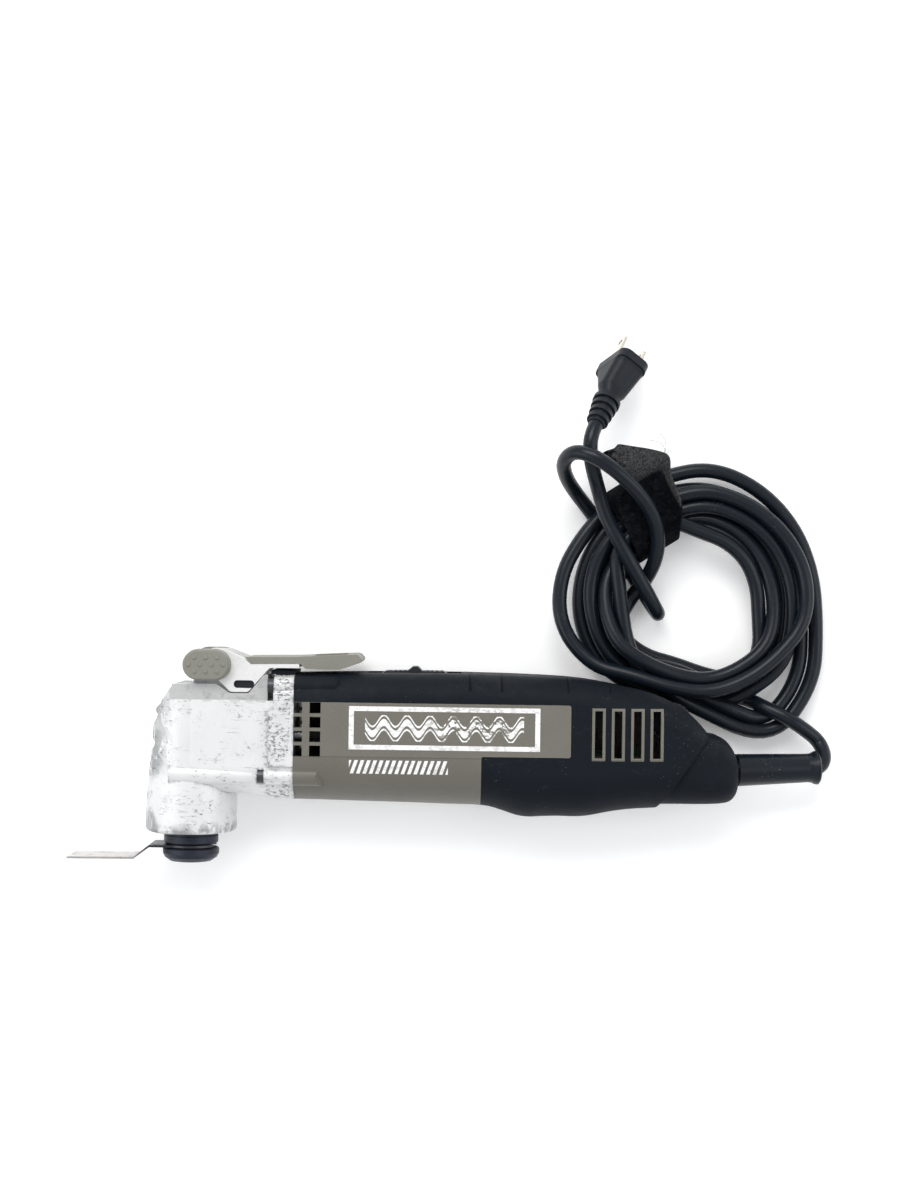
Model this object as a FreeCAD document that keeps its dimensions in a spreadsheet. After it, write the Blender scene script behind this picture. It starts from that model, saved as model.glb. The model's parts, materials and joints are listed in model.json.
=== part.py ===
"""Corded oscillating multi tool with a lever-released blade clamp.

The tool lies on its right side.  Every sub-part of the tool is drawn in the tool frame:
x runs along the motor axis from head to tail, y towards the clamp lever and z towards the
left side, with z = 0 on the seam between the two housing halves.  The placement of each
sub-part lifts that frame so that the flat right side rests on the surface z = 0.
The cord, its plug and the strap round it are drawn where they lie on that surface.
"""

import FreeCAD, Part
import math
import os
import re

import Sketcher
from FreeCAD import Placement, Rotation, Vector

Y_UP = Rotation(Vector(0, 0, 1), Vector(0, 1, 0))
X_ALONG = Rotation(Vector(0, 0, 1), Vector(1, 0, 0))

# ----------------------------------------------------------------------------
# Driving dimensions, millimetres and degrees
# ----------------------------------------------------------------------------

SIZES = {
    # stance
    "motor_axis_y": 9.975,
    "half_width": 28.5,
    "fit": 0.03,
    "gap": 0.3,
    # housing
    "wall": 3.2,
    "rubber": 1.6,
    "joint_x": -75.0,
    "strip_y": 18.3,
    "panel_low_y": -7.2,
    "panel_end_x": 60.1,
    "lower_grey_end_x": 16.7,
    # head
    "spindle_x": -127.3,
    "tower_radius": 22.6,
    "tower_low_y": -48.0,
    "seam_y": 18.4,
    "cover_top_y": 26.1,
    "cover_half": 20.0,
    "lower_room_radius": 16.5,
    "upper_room_radius": 12.9,
    "boss_radius": 4.2,
    "upper_boss_y": 25.9,
    "lower_boss_y": -18.3,
    "upper_boss_z": 22.6,
    "lower_boss_z": 23.7,
    # spindle
    "spindle_radius": 6.0,
    "spindle_bore": 3.7,
    "lower_bearing_radius": 14.0,
    "lower_bearing_y": -42.0,
    "lower_bearing_width": 8.0,
    "upper_bearing_radius": 12.0,
    "upper_bearing_y": 8.4,
    "upper_bearing_width": 6.0,
    "flange_radius": 13.5,
    "flange_low_y": -54.2,
    "blade_low_y": -55.9,
    "pin_head_radius": 14.0,
    "pin_head_y": -56.2,
    "pin_low_y": -63.2,
    "pin_radius": 3.4,
    # drive
    "shaft_radius": 4.0,
    "journal_radius": 3.5,
    "eccentricity": 0.8,
    "drive_x": -98.0,
    "drive_bearing_radius": 8.0,
    "drive_bearing_width": 7.0,
    "fork_gap": 9.9,
    # motor
    "core_start_x": -30.0,
    "core_end_x": 18.0,
    "armature_radius": 17.4,
    "stator_bore": 18.2,
    "stator_radius": 24.8,
    "front_bearing_x": -84.0,
    "front_bearing_radius": 11.0,
    "front_bearing_width": 7.0,
    "rear_bearing_x": 50.0,
    "rear_bearing_radius": 9.5,
    "rear_bearing_width": 6.0,
    "commutator_x": 30.0,
    "commutator_length": 14.0,
    "commutator_radius": 10.5,
    "fan_x": -71.0,
    "fan_radius": 23.0,
    # lever
    "pivot_x": -118.1,
    "pivot_y": 35.6,
    "pad_long": 22.6,
    "pad_tall": 14.6,
    "pad_inner_z": 20.6,
    "pad_outer_z": 27.0,
    "arm_inner_z": 16.8,
    "arm_outer_z": 20.3,
    # switch and dial
    "slider_length": 33.0,
    "slider_x": -33.2,
    "slider_half": 8.0,
    "slider_top_y": 33.4,
    "dial_x": 112.0,
    "dial_y": 9.2,
    "dial_radius": 10.0,
    "dial_width": 7.0,
    # cord
    "cord_radius": 3.7,
}

doc = FreeCAD.newDocument("oscillating_multi_tool")
sheet = doc.addObject("Spreadsheet::Sheet", "Sizes")
for row, (name, value) in enumerate(SIZES.items(), start=1):
    sheet.set("A%d" % row, name)
    sheet.set("B%d" % row, str(value))
    sheet.setAlias("B%d" % row, name)
doc.recompute()


# ----------------------------------------------------------------------------
# Helpers
# ----------------------------------------------------------------------------

NODES = []


def size(expression):
    """The value of an expression of the sheet's aliases."""
    return float(sheet.evalExpression(str(expression)))


def bound(expression):
    """The same expression as other objects of the document write it."""
    return re.sub(r"[a-z][a-z_]*", lambda word: "Sizes." + word.group(), str(expression))


def bind(item, values):
    """Set properties of an object to expressions of the sheet."""
    for name, expression in values.items():
        if isinstance(expression, (int, float)):
            setattr(item, name, expression)
        else:
            item.setExpression(name, bound(expression))
    return item


def keep(item, label, x="0", stand=True):
    """Name a finished sub-part, put it in place and list it for export."""
    item.Label = label
    if stand:
        base = Vector(size(x), size("motor_axis_y"), size("half_width"))
        item.Placement = Placement(base, item.Placement.Rotation)
        item.setExpression("Placement.Base.x", bound(x))
        item.setExpression("Placement.Base.y", bound("motor_axis_y"))
        item.setExpression("Placement.Base.z", bound("half_width"))
    NODES.append(item)
    return item


def plane_of(body, role):
    return next(item for item in body.Origin.OriginFeatures if item.Role == role)


def sketch_on(body, role, offset="0"):
    """A sketch on one of the body's own planes, moved along its normal."""
    sketch = body.newObject("Sketcher::SketchObject", body.Name + "_sketch")
    sketch.AttachmentSupport = [(plane_of(body, role), "")]
    sketch.MapMode = "FlatFace"
    sketch.setExpression("AttachmentOffset.Base.z", bound(offset))
    return sketch


def fix(sketch, kind, item, point, expression, value):
    """Hold one coordinate of a sketch point, on the axis itself when it is zero."""
    if abs(value) < 1e-9:
        axis = -2 if kind == "DistanceX" else -1
        sketch.addConstraint(Sketcher.Constraint("PointOnObject", item, point, axis))
        return
    index = sketch.addConstraint(Sketcher.Constraint(kind, -1, 1, item, point, value))
    sketch.setExpression("Constraints[%d]" % index, bound(expression))


def add_outline(sketch, points):
    """A closed outline of straight edges through points given as expressions."""
    places = [(size(across), size(up)) for across, up in points]
    first = sketch.GeometryCount
    count = len(points)
    for index in range(count):
        start = Vector(*places[index], 0)
        end = Vector(*places[(index + 1) % count], 0)
        sketch.addGeometry(Part.LineSegment(start, end), False)
    for index in range(count):
        following = first + (index + 1) % count
        sketch.addConstraint(Sketcher.Constraint("Coincident", first + index, 2, following, 1))
    for index, (across, up) in enumerate(points):
        fix(sketch, "DistanceX", first + index, 1, across, places[index][0])
        fix(sketch, "DistanceY", first + index, 1, up, places[index][1])


def add_circle(sketch, across, up, radius):
    centre = Vector(size(across), size(up), 0)
    index = sketch.addGeometry(Part.Circle(centre, Vector(0, 0, 1), size(radius)), False)
    fix(sketch, "DistanceX", index, 3, across, centre.x)
    fix(sketch, "DistanceY", index, 3, up, centre.y)
    held = sketch.addConstraint(Sketcher.Constraint("Radius", index, size(radius)))
    sketch.setExpression("Constraints[%d]" % held, bound(radius))


def turned(label, outline, axis="H_Axis", x="0"):
    """A piece turned about the motor axis (H_Axis) or the spindle axis (V_Axis)."""
    body = doc.addObject("PartDesign::Body", label)
    sketch = sketch_on(body, "XY_Plane")
    add_outline(sketch, outline)
    solid = body.newObject("PartDesign::Revolution", label + "_turned")
    solid.Profile = sketch
    solid.ReferenceAxis = (sketch, [axis])
    solid.Angle = 360
    return keep(body, label, x)


def ring(start, end, inner, outer):
    """The outline of a plain ring: along the axis from start to end."""
    return [(start, inner), (end, inner), (end, outer), (start, outer)]


def upright_ring(low, high, inner, outer):
    """The outline of a plain ring about the spindle axis."""
    return [(inner, low), (outer, low), (outer, high), (inner, high)]


def pad(body, role, offset, length, outlines=(), circles=()):
    """Extrude outlines and circles from a plane of the body along its normal."""
    sketch = sketch_on(body, role, offset)
    for points in outlines:
        add_outline(sketch, points)
    for across, up, radius in circles:
        add_circle(sketch, across, up, radius)
    solid = body.newObject("PartDesign::Pad", body.Name + "_pad")
    solid.Profile = sketch
    bind(solid, {"Length": length})
    return solid


def pocket(body, role, offset, length, outlines=(), circles=()):
    """Cut outlines and circles from a plane of the body against its normal."""
    doc.recompute()
    before = body.Shape.Volume
    sketch = sketch_on(body, role, offset)
    for points in outlines:
        add_outline(sketch, points)
    for across, up, radius in circles:
        add_circle(sketch, across, up, radius)
    cut = body.newObject("PartDesign::Pocket", body.Name + "_pocket")
    cut.Profile = sketch
    bind(cut, {"Length": length})
    doc.recompute()
    if body.Shape.Volume > before - 0.01:
        raise RuntimeError("a pocket of " + body.Label + " cuts nothing")
    return cut


def around(body, repeated, count):
    """Repeat a feature evenly round the motor axis."""
    pattern = body.newObject("PartDesign::PolarPattern", body.Name + "_pattern")
    pattern.Originals = [repeated]
    pattern.Axis = (plane_of(body, "X_Axis"), [""])
    pattern.Angle = 360
    pattern.Occurrences = count
    body.Tip = pattern
    return pattern


def box(low, high):
    """A block between two corners."""
    low, high = Vector(*low), Vector(*high)
    side = high - low
    return Part.makeBox(side.x, side.y, side.z, low)


def rod(start, end, radius):
    """A round bar between two points."""
    start, end = Vector(*start), Vector(*end)
    return Part.makeCylinder(radius, (end - start).Length, start, end - start)


def feature(label, shape, x="0", stand=True):
    """A sub-part whose shape comes from Part's own functions."""
    item = doc.addObject("Part::Feature", label)
    where = shape.Placement.toMatrix()
    shape.Placement = Placement()
    item.Shape = shape.transformShape(where, True)
    return keep(item, label, x, stand)


def slab(points, low, high):
    """A flat piece with rounded corners: points are (across, up, corner radius)."""
    return Part.Face(rounded(points)).extrude(Vector(0, 0, high - low)).translated(
        Vector(0, 0, low))


def rounded(points):
    """A closed wire through the points with an arc at each corner that has a radius."""
    edges = []
    ends = []
    count = len(points)
    for index, (across, up, radius) in enumerate(points):
        corner = Vector(across, up, 0)
        back = Vector(*points[index - 1][:2], 0) - corner
        ahead = Vector(*points[(index + 1) % count][:2], 0) - corner
        if radius <= 0:
            ends.append((corner, corner))
            continue
        half = back.getAngle(ahead) / 2
        reach = radius / math.tan(half)
        back.normalize()
        ahead.normalize()
        start, end = corner + back * reach, corner + ahead * reach
        inward = (back + ahead).normalize()
        middle = corner + inward * (radius / math.sin(half) - radius)
        edges.append((index, Part.Arc(start, middle, end).toShape()))
        ends.append((start, end))
    arcs = dict(edges)
    line = []
    for index in range(count):
        if index in arcs:
            line.append(arcs[index])
        start, end = ends[index][1], ends[(index + 1) % count][0]
        if (end - start).Length > 1e-6:
            line.append(Part.LineSegment(start, end).toShape())
    return Part.Wire(line)


# ----------------------------------------------------------------------------
# Housing: two halves with a moulded-on rubber skin
# ----------------------------------------------------------------------------

# x, top y, bottom y, half width, upper corner, lower corner
GRIP = [
    (-75.0, 31.4, -30.8, 28.5, 13.0, 22.0),
    (-55.0, 32.0, -31.1, 28.5, 13.0, 22.0),
    (-34.0, 32.4, -31.5, 28.5, 13.0, 22.0),
    (-13.0, 32.6, -31.9, 28.5, 13.0, 22.0),
    (6.0, 32.6, -32.3, 28.5, 13.0, 22.0),
    (16.0, 32.5, -32.6, 28.5, 13.0, 22.0),
    (21.0, 32.4, -33.2, 28.5, 13.0, 22.0),
    (28.0, 32.3, -35.2, 28.5, 13.0, 22.0),
    (35.0, 32.1, -37.4, 28.5, 13.0, 22.0),
    (50.0, 31.6, -37.6, 28.5, 13.0, 22.0),
    (66.0, 30.5, -37.4, 28.4, 13.0, 21.0),
    (78.0, 28.7, -35.3, 28.1, 13.0, 20.0),
    (100.0, 24.3, -32.8, 26.8, 13.0, 19.0),
    (114.0, 18.2, -31.8, 25.2, 12.5, 18.0),
    (124.0, 10.0, -31.2, 23.4, 11.0, 17.0),
    (131.0, 1.0, -30.8, 21.8, 9.0, 15.0),
]
TAIL = [
    (94.0, 12.0, -31.0, 22.6, 10.0, 14.0),
    (118.0, 7.0, -30.6, 22.4, 10.0, 14.0),
    (130.0, 3.8, -30.4, 21.8, 10.0, 13.0),
    (136.0, 2.4, -30.1, 20.8, 9.5, 13.0),
    (140.0, -1.4, -29.2, 19.0, 8.5, 12.0),
    (142.5, -5.6, -27.0, 16.8, 7.5, 10.0),
    (143.9, -10.6, -23.4, 13.4, 5.0, 6.0),
]


def section(station, inset):
    """One closed cross-section, shrunk by the inset."""
    x, top, bottom, half, upper, lower = station
    top, bottom, half = top - inset, bottom + inset, half - inset
    upper, lower = max(upper - inset, 1.5), max(lower - inset, 1.5)
    wire = rounded([
        (half, bottom, lower),
        (half, top, upper),
        (-half, top, upper),
        (-half, bottom, lower),
    ])
    upright = Placement(Vector(x, 0, 0), Rotation(Vector(0, 1, 0), -90))
    wire.transformShape(upright.toMatrix())
    return wire


def loft(sections):
    """A smooth solid through the sections, held close to them between stations."""
    return Part.makeLoft(sections, True, False, False, 2)


def skin(inset):
    """The solid inside the housing's surface, shrunk by the inset."""
    grip = [section((size("joint_x") - inset,) + GRIP[0][1:], inset)]
    grip += [section(station, inset) for station in GRIP[1:]]
    tail = [section(station, inset) for station in TAIL[:-1]]
    tail.append(section((TAIL[-1][0] - inset,) + TAIL[-1][1:], inset))
    # the grip ends on a slanting crease, in front of the slightly smaller tail
    crease = Part.Face(Part.makePolygon([
        Vector(131.5 - inset, 8.0, -40), Vector(98.0 - inset, -40.0, -40),
        Vector(160, -60, -40), Vector(160, 30, -40), Vector(131.5 - inset, 8.0, -40),
    ])).extrude(Vector(0, 0, 80))
    return loft(grip).cut(crease).fuse(loft(tail))


OUTER = skin(0)
UNDER = skin(size("rubber"))
INSIDE = skin(size("wall"))

JOINT = size("joint_x")
SIDES = (1, -1)
FRONT_VENTS = [(-75.6, -70.6), (-67.1, -61.7)]
REAR_VENTS = [70.4 + 9.5 * index for index in range(4)]
LONG_SCREWS = [(-88.0, size("upper_boss_y"), size("upper_boss_z")),
               (-92.3, size("lower_boss_y"), size("lower_boss_z"))]
HOUSING_SCREWS = [(-50, -25.5), (-50, 24.5), (38, -30), (44, 20), (90, -26), (90, 16), (122, -22)]


def vent_windows():
    """Four short windows in each front column and one long slot in each rear frame."""
    windows = []
    for left, right in FRONT_VENTS:
        for row in range(4):
            low = -8.2 + row * 7.0
            windows.append(box((left, low, -40), (right, low + 5.4, 40)))
    for left in REAR_VENTS:
        windows.append(box((left + 1.3, -7.2, -40), (left + 5.2, 15.8, 40)))
    return windows


def rubber_zone():
    """Where rubber covers the halves: the top strip, the rear grip and the tail."""
    strip, low = size("strip_y"), size("panel_low_y")
    panel_end, grey_end = size("panel_end_x"), size("lower_grey_end_x")
    zone = slab([
        (JOINT - 5, strip, 0), (panel_end, strip, 1), (panel_end, low, 1), (grey_end, low, 1),
        (grey_end, -60, 0), (160, -60, 0), (160, 60, 0), (JOINT - 5, 60, 0),
    ], -40, 40)
    frames = [box((left, -8.5, -40), (left + 6.5, 17.1, 40)) for left in REAR_VENTS]
    return zone.cut(Part.makeCompound(frames))


def slider_window():
    """The opening in the top rubber that the switch slider moves in."""
    window = slab([(-41, -9.3, 4), (7, -9.3, 4), (7, 9.3, 4), (-41, 9.3, 4)], -60, 0)
    window.rotate(Vector(), Vector(1, 0, 0), 90)
    return window


def dial_pit():
    x, y = size("dial_x"), size("dial_y")
    half = size("dial_width") / 2 + size("gap")
    return rod((x, y, -half), (x, y, half), size("dial_radius") + 0.8)


def upper_bulges():
    """Rubber-covered ends of the upper screw bosses."""
    y, z, radius = size("upper_boss_y"), size("upper_boss_z"), size("boss_radius") + 0.6
    bulges = []
    for side in SIDES:
        end = Vector(-56, y, side * z)
        bulges.append(rod((JOINT, y, side * z), end, radius).fuse(Part.makeSphere(radius, end)))
    return bulges


def lower_bulges():
    """Ends of the lower screw bosses, cut off at a slant."""
    y, z, radius = size("lower_boss_y"), size("lower_boss_z"), size("boss_radius") + 0.4
    bulges = []
    for side in SIDES:
        bar = rod((JOINT, y, side * z), (-52, y, side * z), radius)
        slant = box((-60, y - 10, -10), (-40, y + 10, 10))
        slant.rotate(Vector(-60, y, 0), Vector(0, 1, 0), -side * 40)
        slant.translate(Vector(0, 0, side * z))
        bulges.append(bar.cut(slant))
    return bulges


def long_screws(extra=0.0):
    """The four long screws that join gear case and housing: head, then shank."""
    screws = []
    for x, y, z in LONG_SCREWS:
        for side in SIDES:
            head = rod((x, y, side * z), (x + 3.2, y, side * z), 3.6 + extra)
            shank = rod((x + 3.2, y, side * z), (-60, y, side * z), 2.0 + extra)
            screws.append(head.fuse(shank))
    return screws


def screw_posts():
    """Posts between the halves that the housing screws go through."""
    posts = []
    for x, y in HOUSING_SCREWS:
        posts.append(rod((x, y, -27), (x, y, 0), 4.8).fuse(rod((x, y, 0), (x, y, 27), 3.8)))
    return posts


def screw_holes():
    holes = []
    for x, y in HOUSING_SCREWS:
        holes.append(rod((x, y, -40), (x, y, -18), 3.3))
        holes.append(rod((x, y, -18), (x, y, 14), 1.6))
    return holes


def bulkheads():
    """Ribs that carry the stator and the rear motor bearing."""
    ribs = []
    for x, radius in ((-27, size("stator_radius")), (12, size("stator_radius")),
                      (51.5, size("rear_bearing_radius"))):
        rib = INSIDE.common(box((x, -60, -60), (x + 3, 60, 60)))
        ribs.append(rib.cut(rod((x - 1, 0, 0), (x + 4, 0, 0), radius + size("fit"))))
    return ribs


def both_halves(shape, label):
    """Split at the seam and keep the left (up) and the right (down) half."""
    feature(label % "left", shape.common(box((-200, -90, 0), (200, 90, 60))))
    feature(label % "right", shape.common(box((-200, -90, -60), (200, 90, 0))))


tongue = box((-87, 31.3, -18), (JOINT, 33.0, 18))
cord_hole = rod((130, -14.4, -1.5), (150, -14.4, -1.5), 7.2)
rubber = OUTER.cut(UNDER).common(rubber_zone())
rubber = rubber.fuse([item.cut(OUTER) for item in upper_bulges()] + [tongue])
cuts = [dial_pit(), cord_hole] + screw_holes() + long_screws(0.1)
rubber = rubber.cut(Part.makeCompound(cuts + [slider_window()]))
both_halves(rubber, "%s_grip_rubber")

shell = OUTER.cut(INSIDE).cut(OUTER.cut(UNDER).common(rubber_zone()))
shell = shell.fuse([item.cut(INSIDE) for item in lower_bulges()]
                   + [item.common(UNDER) for item in upper_bulges()]
                   + [item.common(INSIDE) for item in screw_posts()] + bulkheads())
switch_slot = box((-32, 24, -3.2), (-8, 40, 3.2)).fuse(box((-32, 25, -2.6), (66, 28, 2.6)))
shell = shell.cut(Part.makeCompound(cuts + vent_windows() + [switch_slot]))
both_halves(shell, "%s_housing_shell")

# ----------------------------------------------------------------------------
# Head: gear case, top cover and the parts inside that stand still
# ----------------------------------------------------------------------------

SPINDLE = size("spindle_x")
SEAM = size("seam_y")
CASE = [
    (-127.3, 19.4, -27.0, 22.4, 1.0, 12.0),
    (-106.0, 19.4, -27.8, 24.4, 1.0, 14.0),
    (-88.0, 19.4, -29.4, 25.8, 1.0, 16.0),
    (-75.0, 19.4, -30.6, 27.0, 1.0, 18.0),
]
NOSE = [(-140.0, 18.4), (-141.2, 16.0), (-143.4, 13.8), (-143.6, 12.4), (-142.5, 10.8),
        (-143.2, 8.6), (-144.9, 5.6), (-145.4, 1.0), (-145.0, -1.2), (-143.8, -3.1),
        (-144.4, -5.2), (-146.3, -7.6), (-146.1, -11.4), (-147.0, -14.5), (-147.6, -20.0),
        (-148.8, -32.0), (-149.4, -44.1), (-149.4, -60)]


def spindle_rod(low, high, radius):
    """A round bar on the spindle axis."""
    return rod((SPINDLE, low, 0), (SPINDLE, high, 0), radius)


def gear_case():
    tower = spindle_rod(size("tower_low_y"), SEAM, size("tower_radius"))
    rim = [edge for edge in tower.Edges if abs(edge.CenterOfMass.y - size("tower_low_y")) < 0.01]
    tower = tower.makeFillet(2.4, rim)
    nose = Part.Face(Part.makePolygon(
        [Vector(x, y, -40) for x, y in NOSE + [(-170, -60), (-170, 18.4), NOSE[0]]]
    )).extrude(Vector(0, 0, 80))
    body = loft([section(station, 0) for station in CASE])
    body = body.cut(box((-200, SEAM, -60), (0, 60, 60))).fuse(tower)
    flange = loft([section((-85.0, 31.0, -30.2, 26.6, 12.0, 18.0), 0),
                   section((JOINT, 31.2, -30.8, 27.2, 12.0, 18.0), 0)])
    band = slab([(-87.4, -13.2, 2.5), (-74.9, -13.2, 0), (-74.9, 14.8, 0), (-87.4, 14.8, 2.5)],
                -28.5, 28.5).cut(box((-74.999, -60, -60), (0, 60, 60)))
    outside = [body, flange, band]
    for side in SIDES:
        for x, y, z in LONG_SCREWS:
            outside.append(rod((x + 3.2, y, side * z), (JOINT, y, side * z), size("boss_radius")))
        outside.append(rod((-136, y, side * 18.6), (-92.6, y, side * 20.2), 4.9))
    return outside[0].fuse(outside[1:]).cut(nose)


def gear_case_hollow():
    """The bore for the spindle, the room for the fork and the opening to the motor."""
    room = loft([section((-127.3, 7.9, -20.0, 17.0, 3, 8), 0),
                 section((-90.0, 14.6, -22.0, 17.2, 3, 8), 0)])
    mouth = rod((-90.5, 0, 0), (JOINT + 1, 0, 0), 17.0)
    return [
        spindle_rod(-60, size("lower_bearing_y") + size("lower_bearing_width"),
                    size("lower_bearing_radius") + size("fit")),
        spindle_rod(-35, -16, size("lower_room_radius")),
        spindle_rod(-17, size("upper_bearing_y") - 0.5, size("upper_room_radius")),
        spindle_rod(0, size("upper_bearing_y") + size("upper_bearing_width"),
                    size("upper_bearing_radius") + size("fit")),
        spindle_rod(0, SEAM + 1, 9.0),
        room,
        mouth,
    ]


case = gear_case().cut(Part.makeCompound(long_screws(0.1)).fuse(gear_case_hollow()))
feature("gear_case", case)


COVER_SCREWS = [(-133.5, 11.6), (-133.5, -11.6), (-101, 9.5), (-101, -9.5)]


def top_cover():
    """Cover with a recess on each side for the lever and two lugs for its pin."""
    half, inner = size("cover_half"), size("arm_inner_z") - 0.4
    top = size("cover_top_y")
    outer_line = [(-140.0, SEAM, 0), (-134.6, top, 1.5), (-113.5, top, 1.5), (-107.0, 21.7, 2),
                  (-97.6, 21.7, 2), (-90.8, 30.2, 2), (-88.4, 31.4, 0.6), (-88.4, SEAM, 0)]
    inner_line = [(-140.0, SEAM, 0), (-134.6, top, 1.5), (-97.0, top, 3), (-90.8, 30.2, 2),
                  (-88.4, 31.4, 0.6), (-88.4, SEAM, 0)]
    cover = slab(outer_line, -half, half).fuse(slab(inner_line, -inner, inner))
    px, py = size("pivot_x"), size("pivot_y")
    for side in SIDES:
        low, high = sorted((side * 8.6, side * inner))
        lug = slab([(px - 7.5, top - 3, 0), (px + 7.5, top - 3, 0), (px + 5.4, py + 5.4, 5.3),
                    (px - 5.4, py + 5.4, 5.3)], low, high)
        cover = cover.fuse(lug)
    nose = slab([(-150, SEAM - 1, 0), (-137, SEAM - 1, 0), (-137, 60, 0), (-150, 60, 0)], -30, 30)
    corner = spindle_rod(SEAM, 40, size("tower_radius") - 0.6).fuse(
        box((SPINDLE, SEAM, -half), (-80, 60, half)))
    slot = slab([(-137.0, 21.8, 0), (-106.0, 21.8, 2), (-106.0, 60, 0), (-137.0, 60, 0)], -8.3, 8.3)
    holes = [slot, spindle_rod(SEAM, 30, 7.6), rod((px, py, -30), (px, py, 30), 3.3)]
    for x, z in COVER_SCREWS:
        holes.append(rod((x, SEAM - 1, z), (x, 40, z), 1.6))
        holes.append(rod((x, top - 3, z), (x, 40, z), 3.1))
    return cover.common(corner).cut(Part.makeCompound(holes))


feature("top_cover", top_cover())


def screw_group(label, places, head, shank, sink=0.9):
    """Identical screws: places are (head centre, direction); sizes are (radius, length)."""
    solids = []
    for start, along in places:
        start, along = Vector(*start), Vector(*along)
        screw = Part.makeCylinder(head[0], head[1], start, along)
        screw = screw.fuse(Part.makeCylinder(shank[0], head[1] + shank[1], start, along))
        recess = Part.makeCylinder(head[0] * 0.5, sink, start, along)
        star = [Part.makeCylinder(head[0] * 0.16, sink, start + spot, along)
                for spot in star_spots(along, head[0] * 0.5)]
        solids.append(screw.cut(Part.makeCompound([recess]).fuse(star)))
    return feature(label, Part.makeCompound(solids))


def star_spots(along, radius):
    """Six places round a screw's axis for the lobes of its recess."""
    across = along.cross(Vector(0.3, 0.5, 0.7)).normalize() * radius
    return [Rotation(along, 60 * index).multVec(across) for index in range(6)]


screw_group("gear_case_screws", [
    ((x, y, side * z), (1, 0, 0)) for x, y, z in LONG_SCREWS for side in SIDES
], (3.5, 3.2), (1.95, 21.5), 1.6)
screw_group("housing_screws", [((x, y, -20.4), (0, 0, 1)) for x, y in HOUSING_SCREWS],
            (2.9, 2.4), (1.55, 30.0))
screw_group("cover_screws", [((x, 25.4, z), (0, -1, 0)) for x, z in COVER_SCREWS],
            (2.9, 2.2), (1.55, 4.6))

# ----------------------------------------------------------------------------
# Spindle, bearings and blade clamp, turned about the spindle axis
# ----------------------------------------------------------------------------

turned("spindle", [
    ("spindle_bore", "flange_low_y"), ("spindle_radius", "flange_low_y"),
    ("spindle_radius", "upper_bearing_y + upper_bearing_width + 0.5"),
    ("spindle_bore", "upper_bearing_y + upper_bearing_width + 0.5"),
], "V_Axis", "spindle_x")
turned("lower_spindle_bearing", upright_ring(
    "lower_bearing_y", "lower_bearing_y + lower_bearing_width",
    "spindle_radius + fit", "lower_bearing_radius"), "V_Axis", "spindle_x")
turned("upper_spindle_bearing", upright_ring(
    "upper_bearing_y", "upper_bearing_y + upper_bearing_width",
    "spindle_radius + fit", "upper_bearing_radius"), "V_Axis", "spindle_x")
turned("spindle_seal", upright_ring(
    "lower_bearing_y - 3.4", "lower_bearing_y - 0.4",
    "spindle_radius + 0.1", "lower_bearing_radius"), "V_Axis", "spindle_x")
turned("retaining_ring", upright_ring(
    "lower_bearing_y + lower_bearing_width + gap", "lower_bearing_y + lower_bearing_width + 1.5",
    "spindle_radius + fit", "spindle_radius + 1.8"), "V_Axis", "spindle_x")
turned("tool_flange", [
    ("spindle_radius + fit", "flange_low_y"), ("flange_radius - 0.8", "flange_low_y"),
    ("flange_radius", "flange_low_y + 0.8"), ("flange_radius", "tower_low_y - 2.2"),
    ("flange_radius - 0.7", "tower_low_y - 2.0"), ("flange_radius - 0.7", "tower_low_y - 1.4"),
    ("flange_radius", "tower_low_y - 1.2"), ("flange_radius", "tower_low_y - gap"),
    ("spindle_radius + fit", "tower_low_y - gap"),
], "V_Axis", "spindle_x")
turned("clamp_pin", [
    ("0", "pin_low_y + 1.2"), ("8", "pin_low_y"), ("pin_head_radius - 3.5", "pin_low_y + 0.4"),
    ("pin_head_radius - 1", "pin_low_y + 2.2"), ("pin_head_radius", "pin_low_y + 4.2"),
    ("pin_head_radius", "pin_head_y - 0.6"), ("pin_head_radius - 0.6", "pin_head_y"),
    ("pin_radius", "pin_head_y"), ("pin_radius", "23.8"), ("0", "23.8"),
], "V_Axis", "spindle_x")
turned("clamp_nut", [
    ("pin_radius + fit", "20.4"), ("5.6", "20.4"), ("5.6", "22.4"), ("4.6", "23.4"),
    ("pin_radius + fit", "23.4"),
], "V_Axis", "spindle_x")


def clamp_springs():
    """Four disc springs between the spindle's top and the clamp nut."""
    bore, rim = size("pin_radius") + 0.3, 5.8
    discs = []
    for index in range(4):
        low = 15.05 + 1.25 * index
        tilt = 0.5 if index % 2 else 0.0
        points = [(bore, low + tilt), (rim, low + 0.5 - tilt), (rim, low + 1.1 - tilt),
                  (bore, low + 0.6 + tilt), (bore, low + tilt)]
        face = Part.Face(Part.makePolygon([Vector(r, y, 0) for r, y in points]))
        discs.append(face.revolve(Vector(), Vector(0, 1, 0), 360))
    return Part.makeCompound(discs)


feature("clamp_springs", clamp_springs(), "spindle_x")


def fork_arm():
    """Hub on the spindle with two prongs that straddle the drive bearing."""
    reach = size("drive_x") - SPINDLE + 4
    gap = size("fork_gap")
    web = slab([(0, -14.5, 3), (reach, -14.5, 2), (reach, 14.5, 2), (0, 14.5, 3)], -6, 6)
    web.rotate(Vector(), Vector(1, 0, 0), 90)
    hub = rod((0, -6.5, 0), (0, 6.5, 0), 11.5)
    jaw = box((reach - 15.5, -8, -gap), (reach + 5, 8, gap))
    neck = box((-13, -8, 11.6), (8, 8, 20)).fuse(box((-13, -8, -20), (8, 8, -11.6)))
    heel = box((-20, -8, -20), (0, 8, 20)).cut(rod((0, -9, 0), (0, 9, 0), 11.5))
    bore = rod((0, -9, 0), (0, 9, 0), size("spindle_radius") + size("fit"))
    return web.fuse(hub).cut(Part.makeCompound([jaw, bore]).fuse([neck, heel]))


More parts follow.
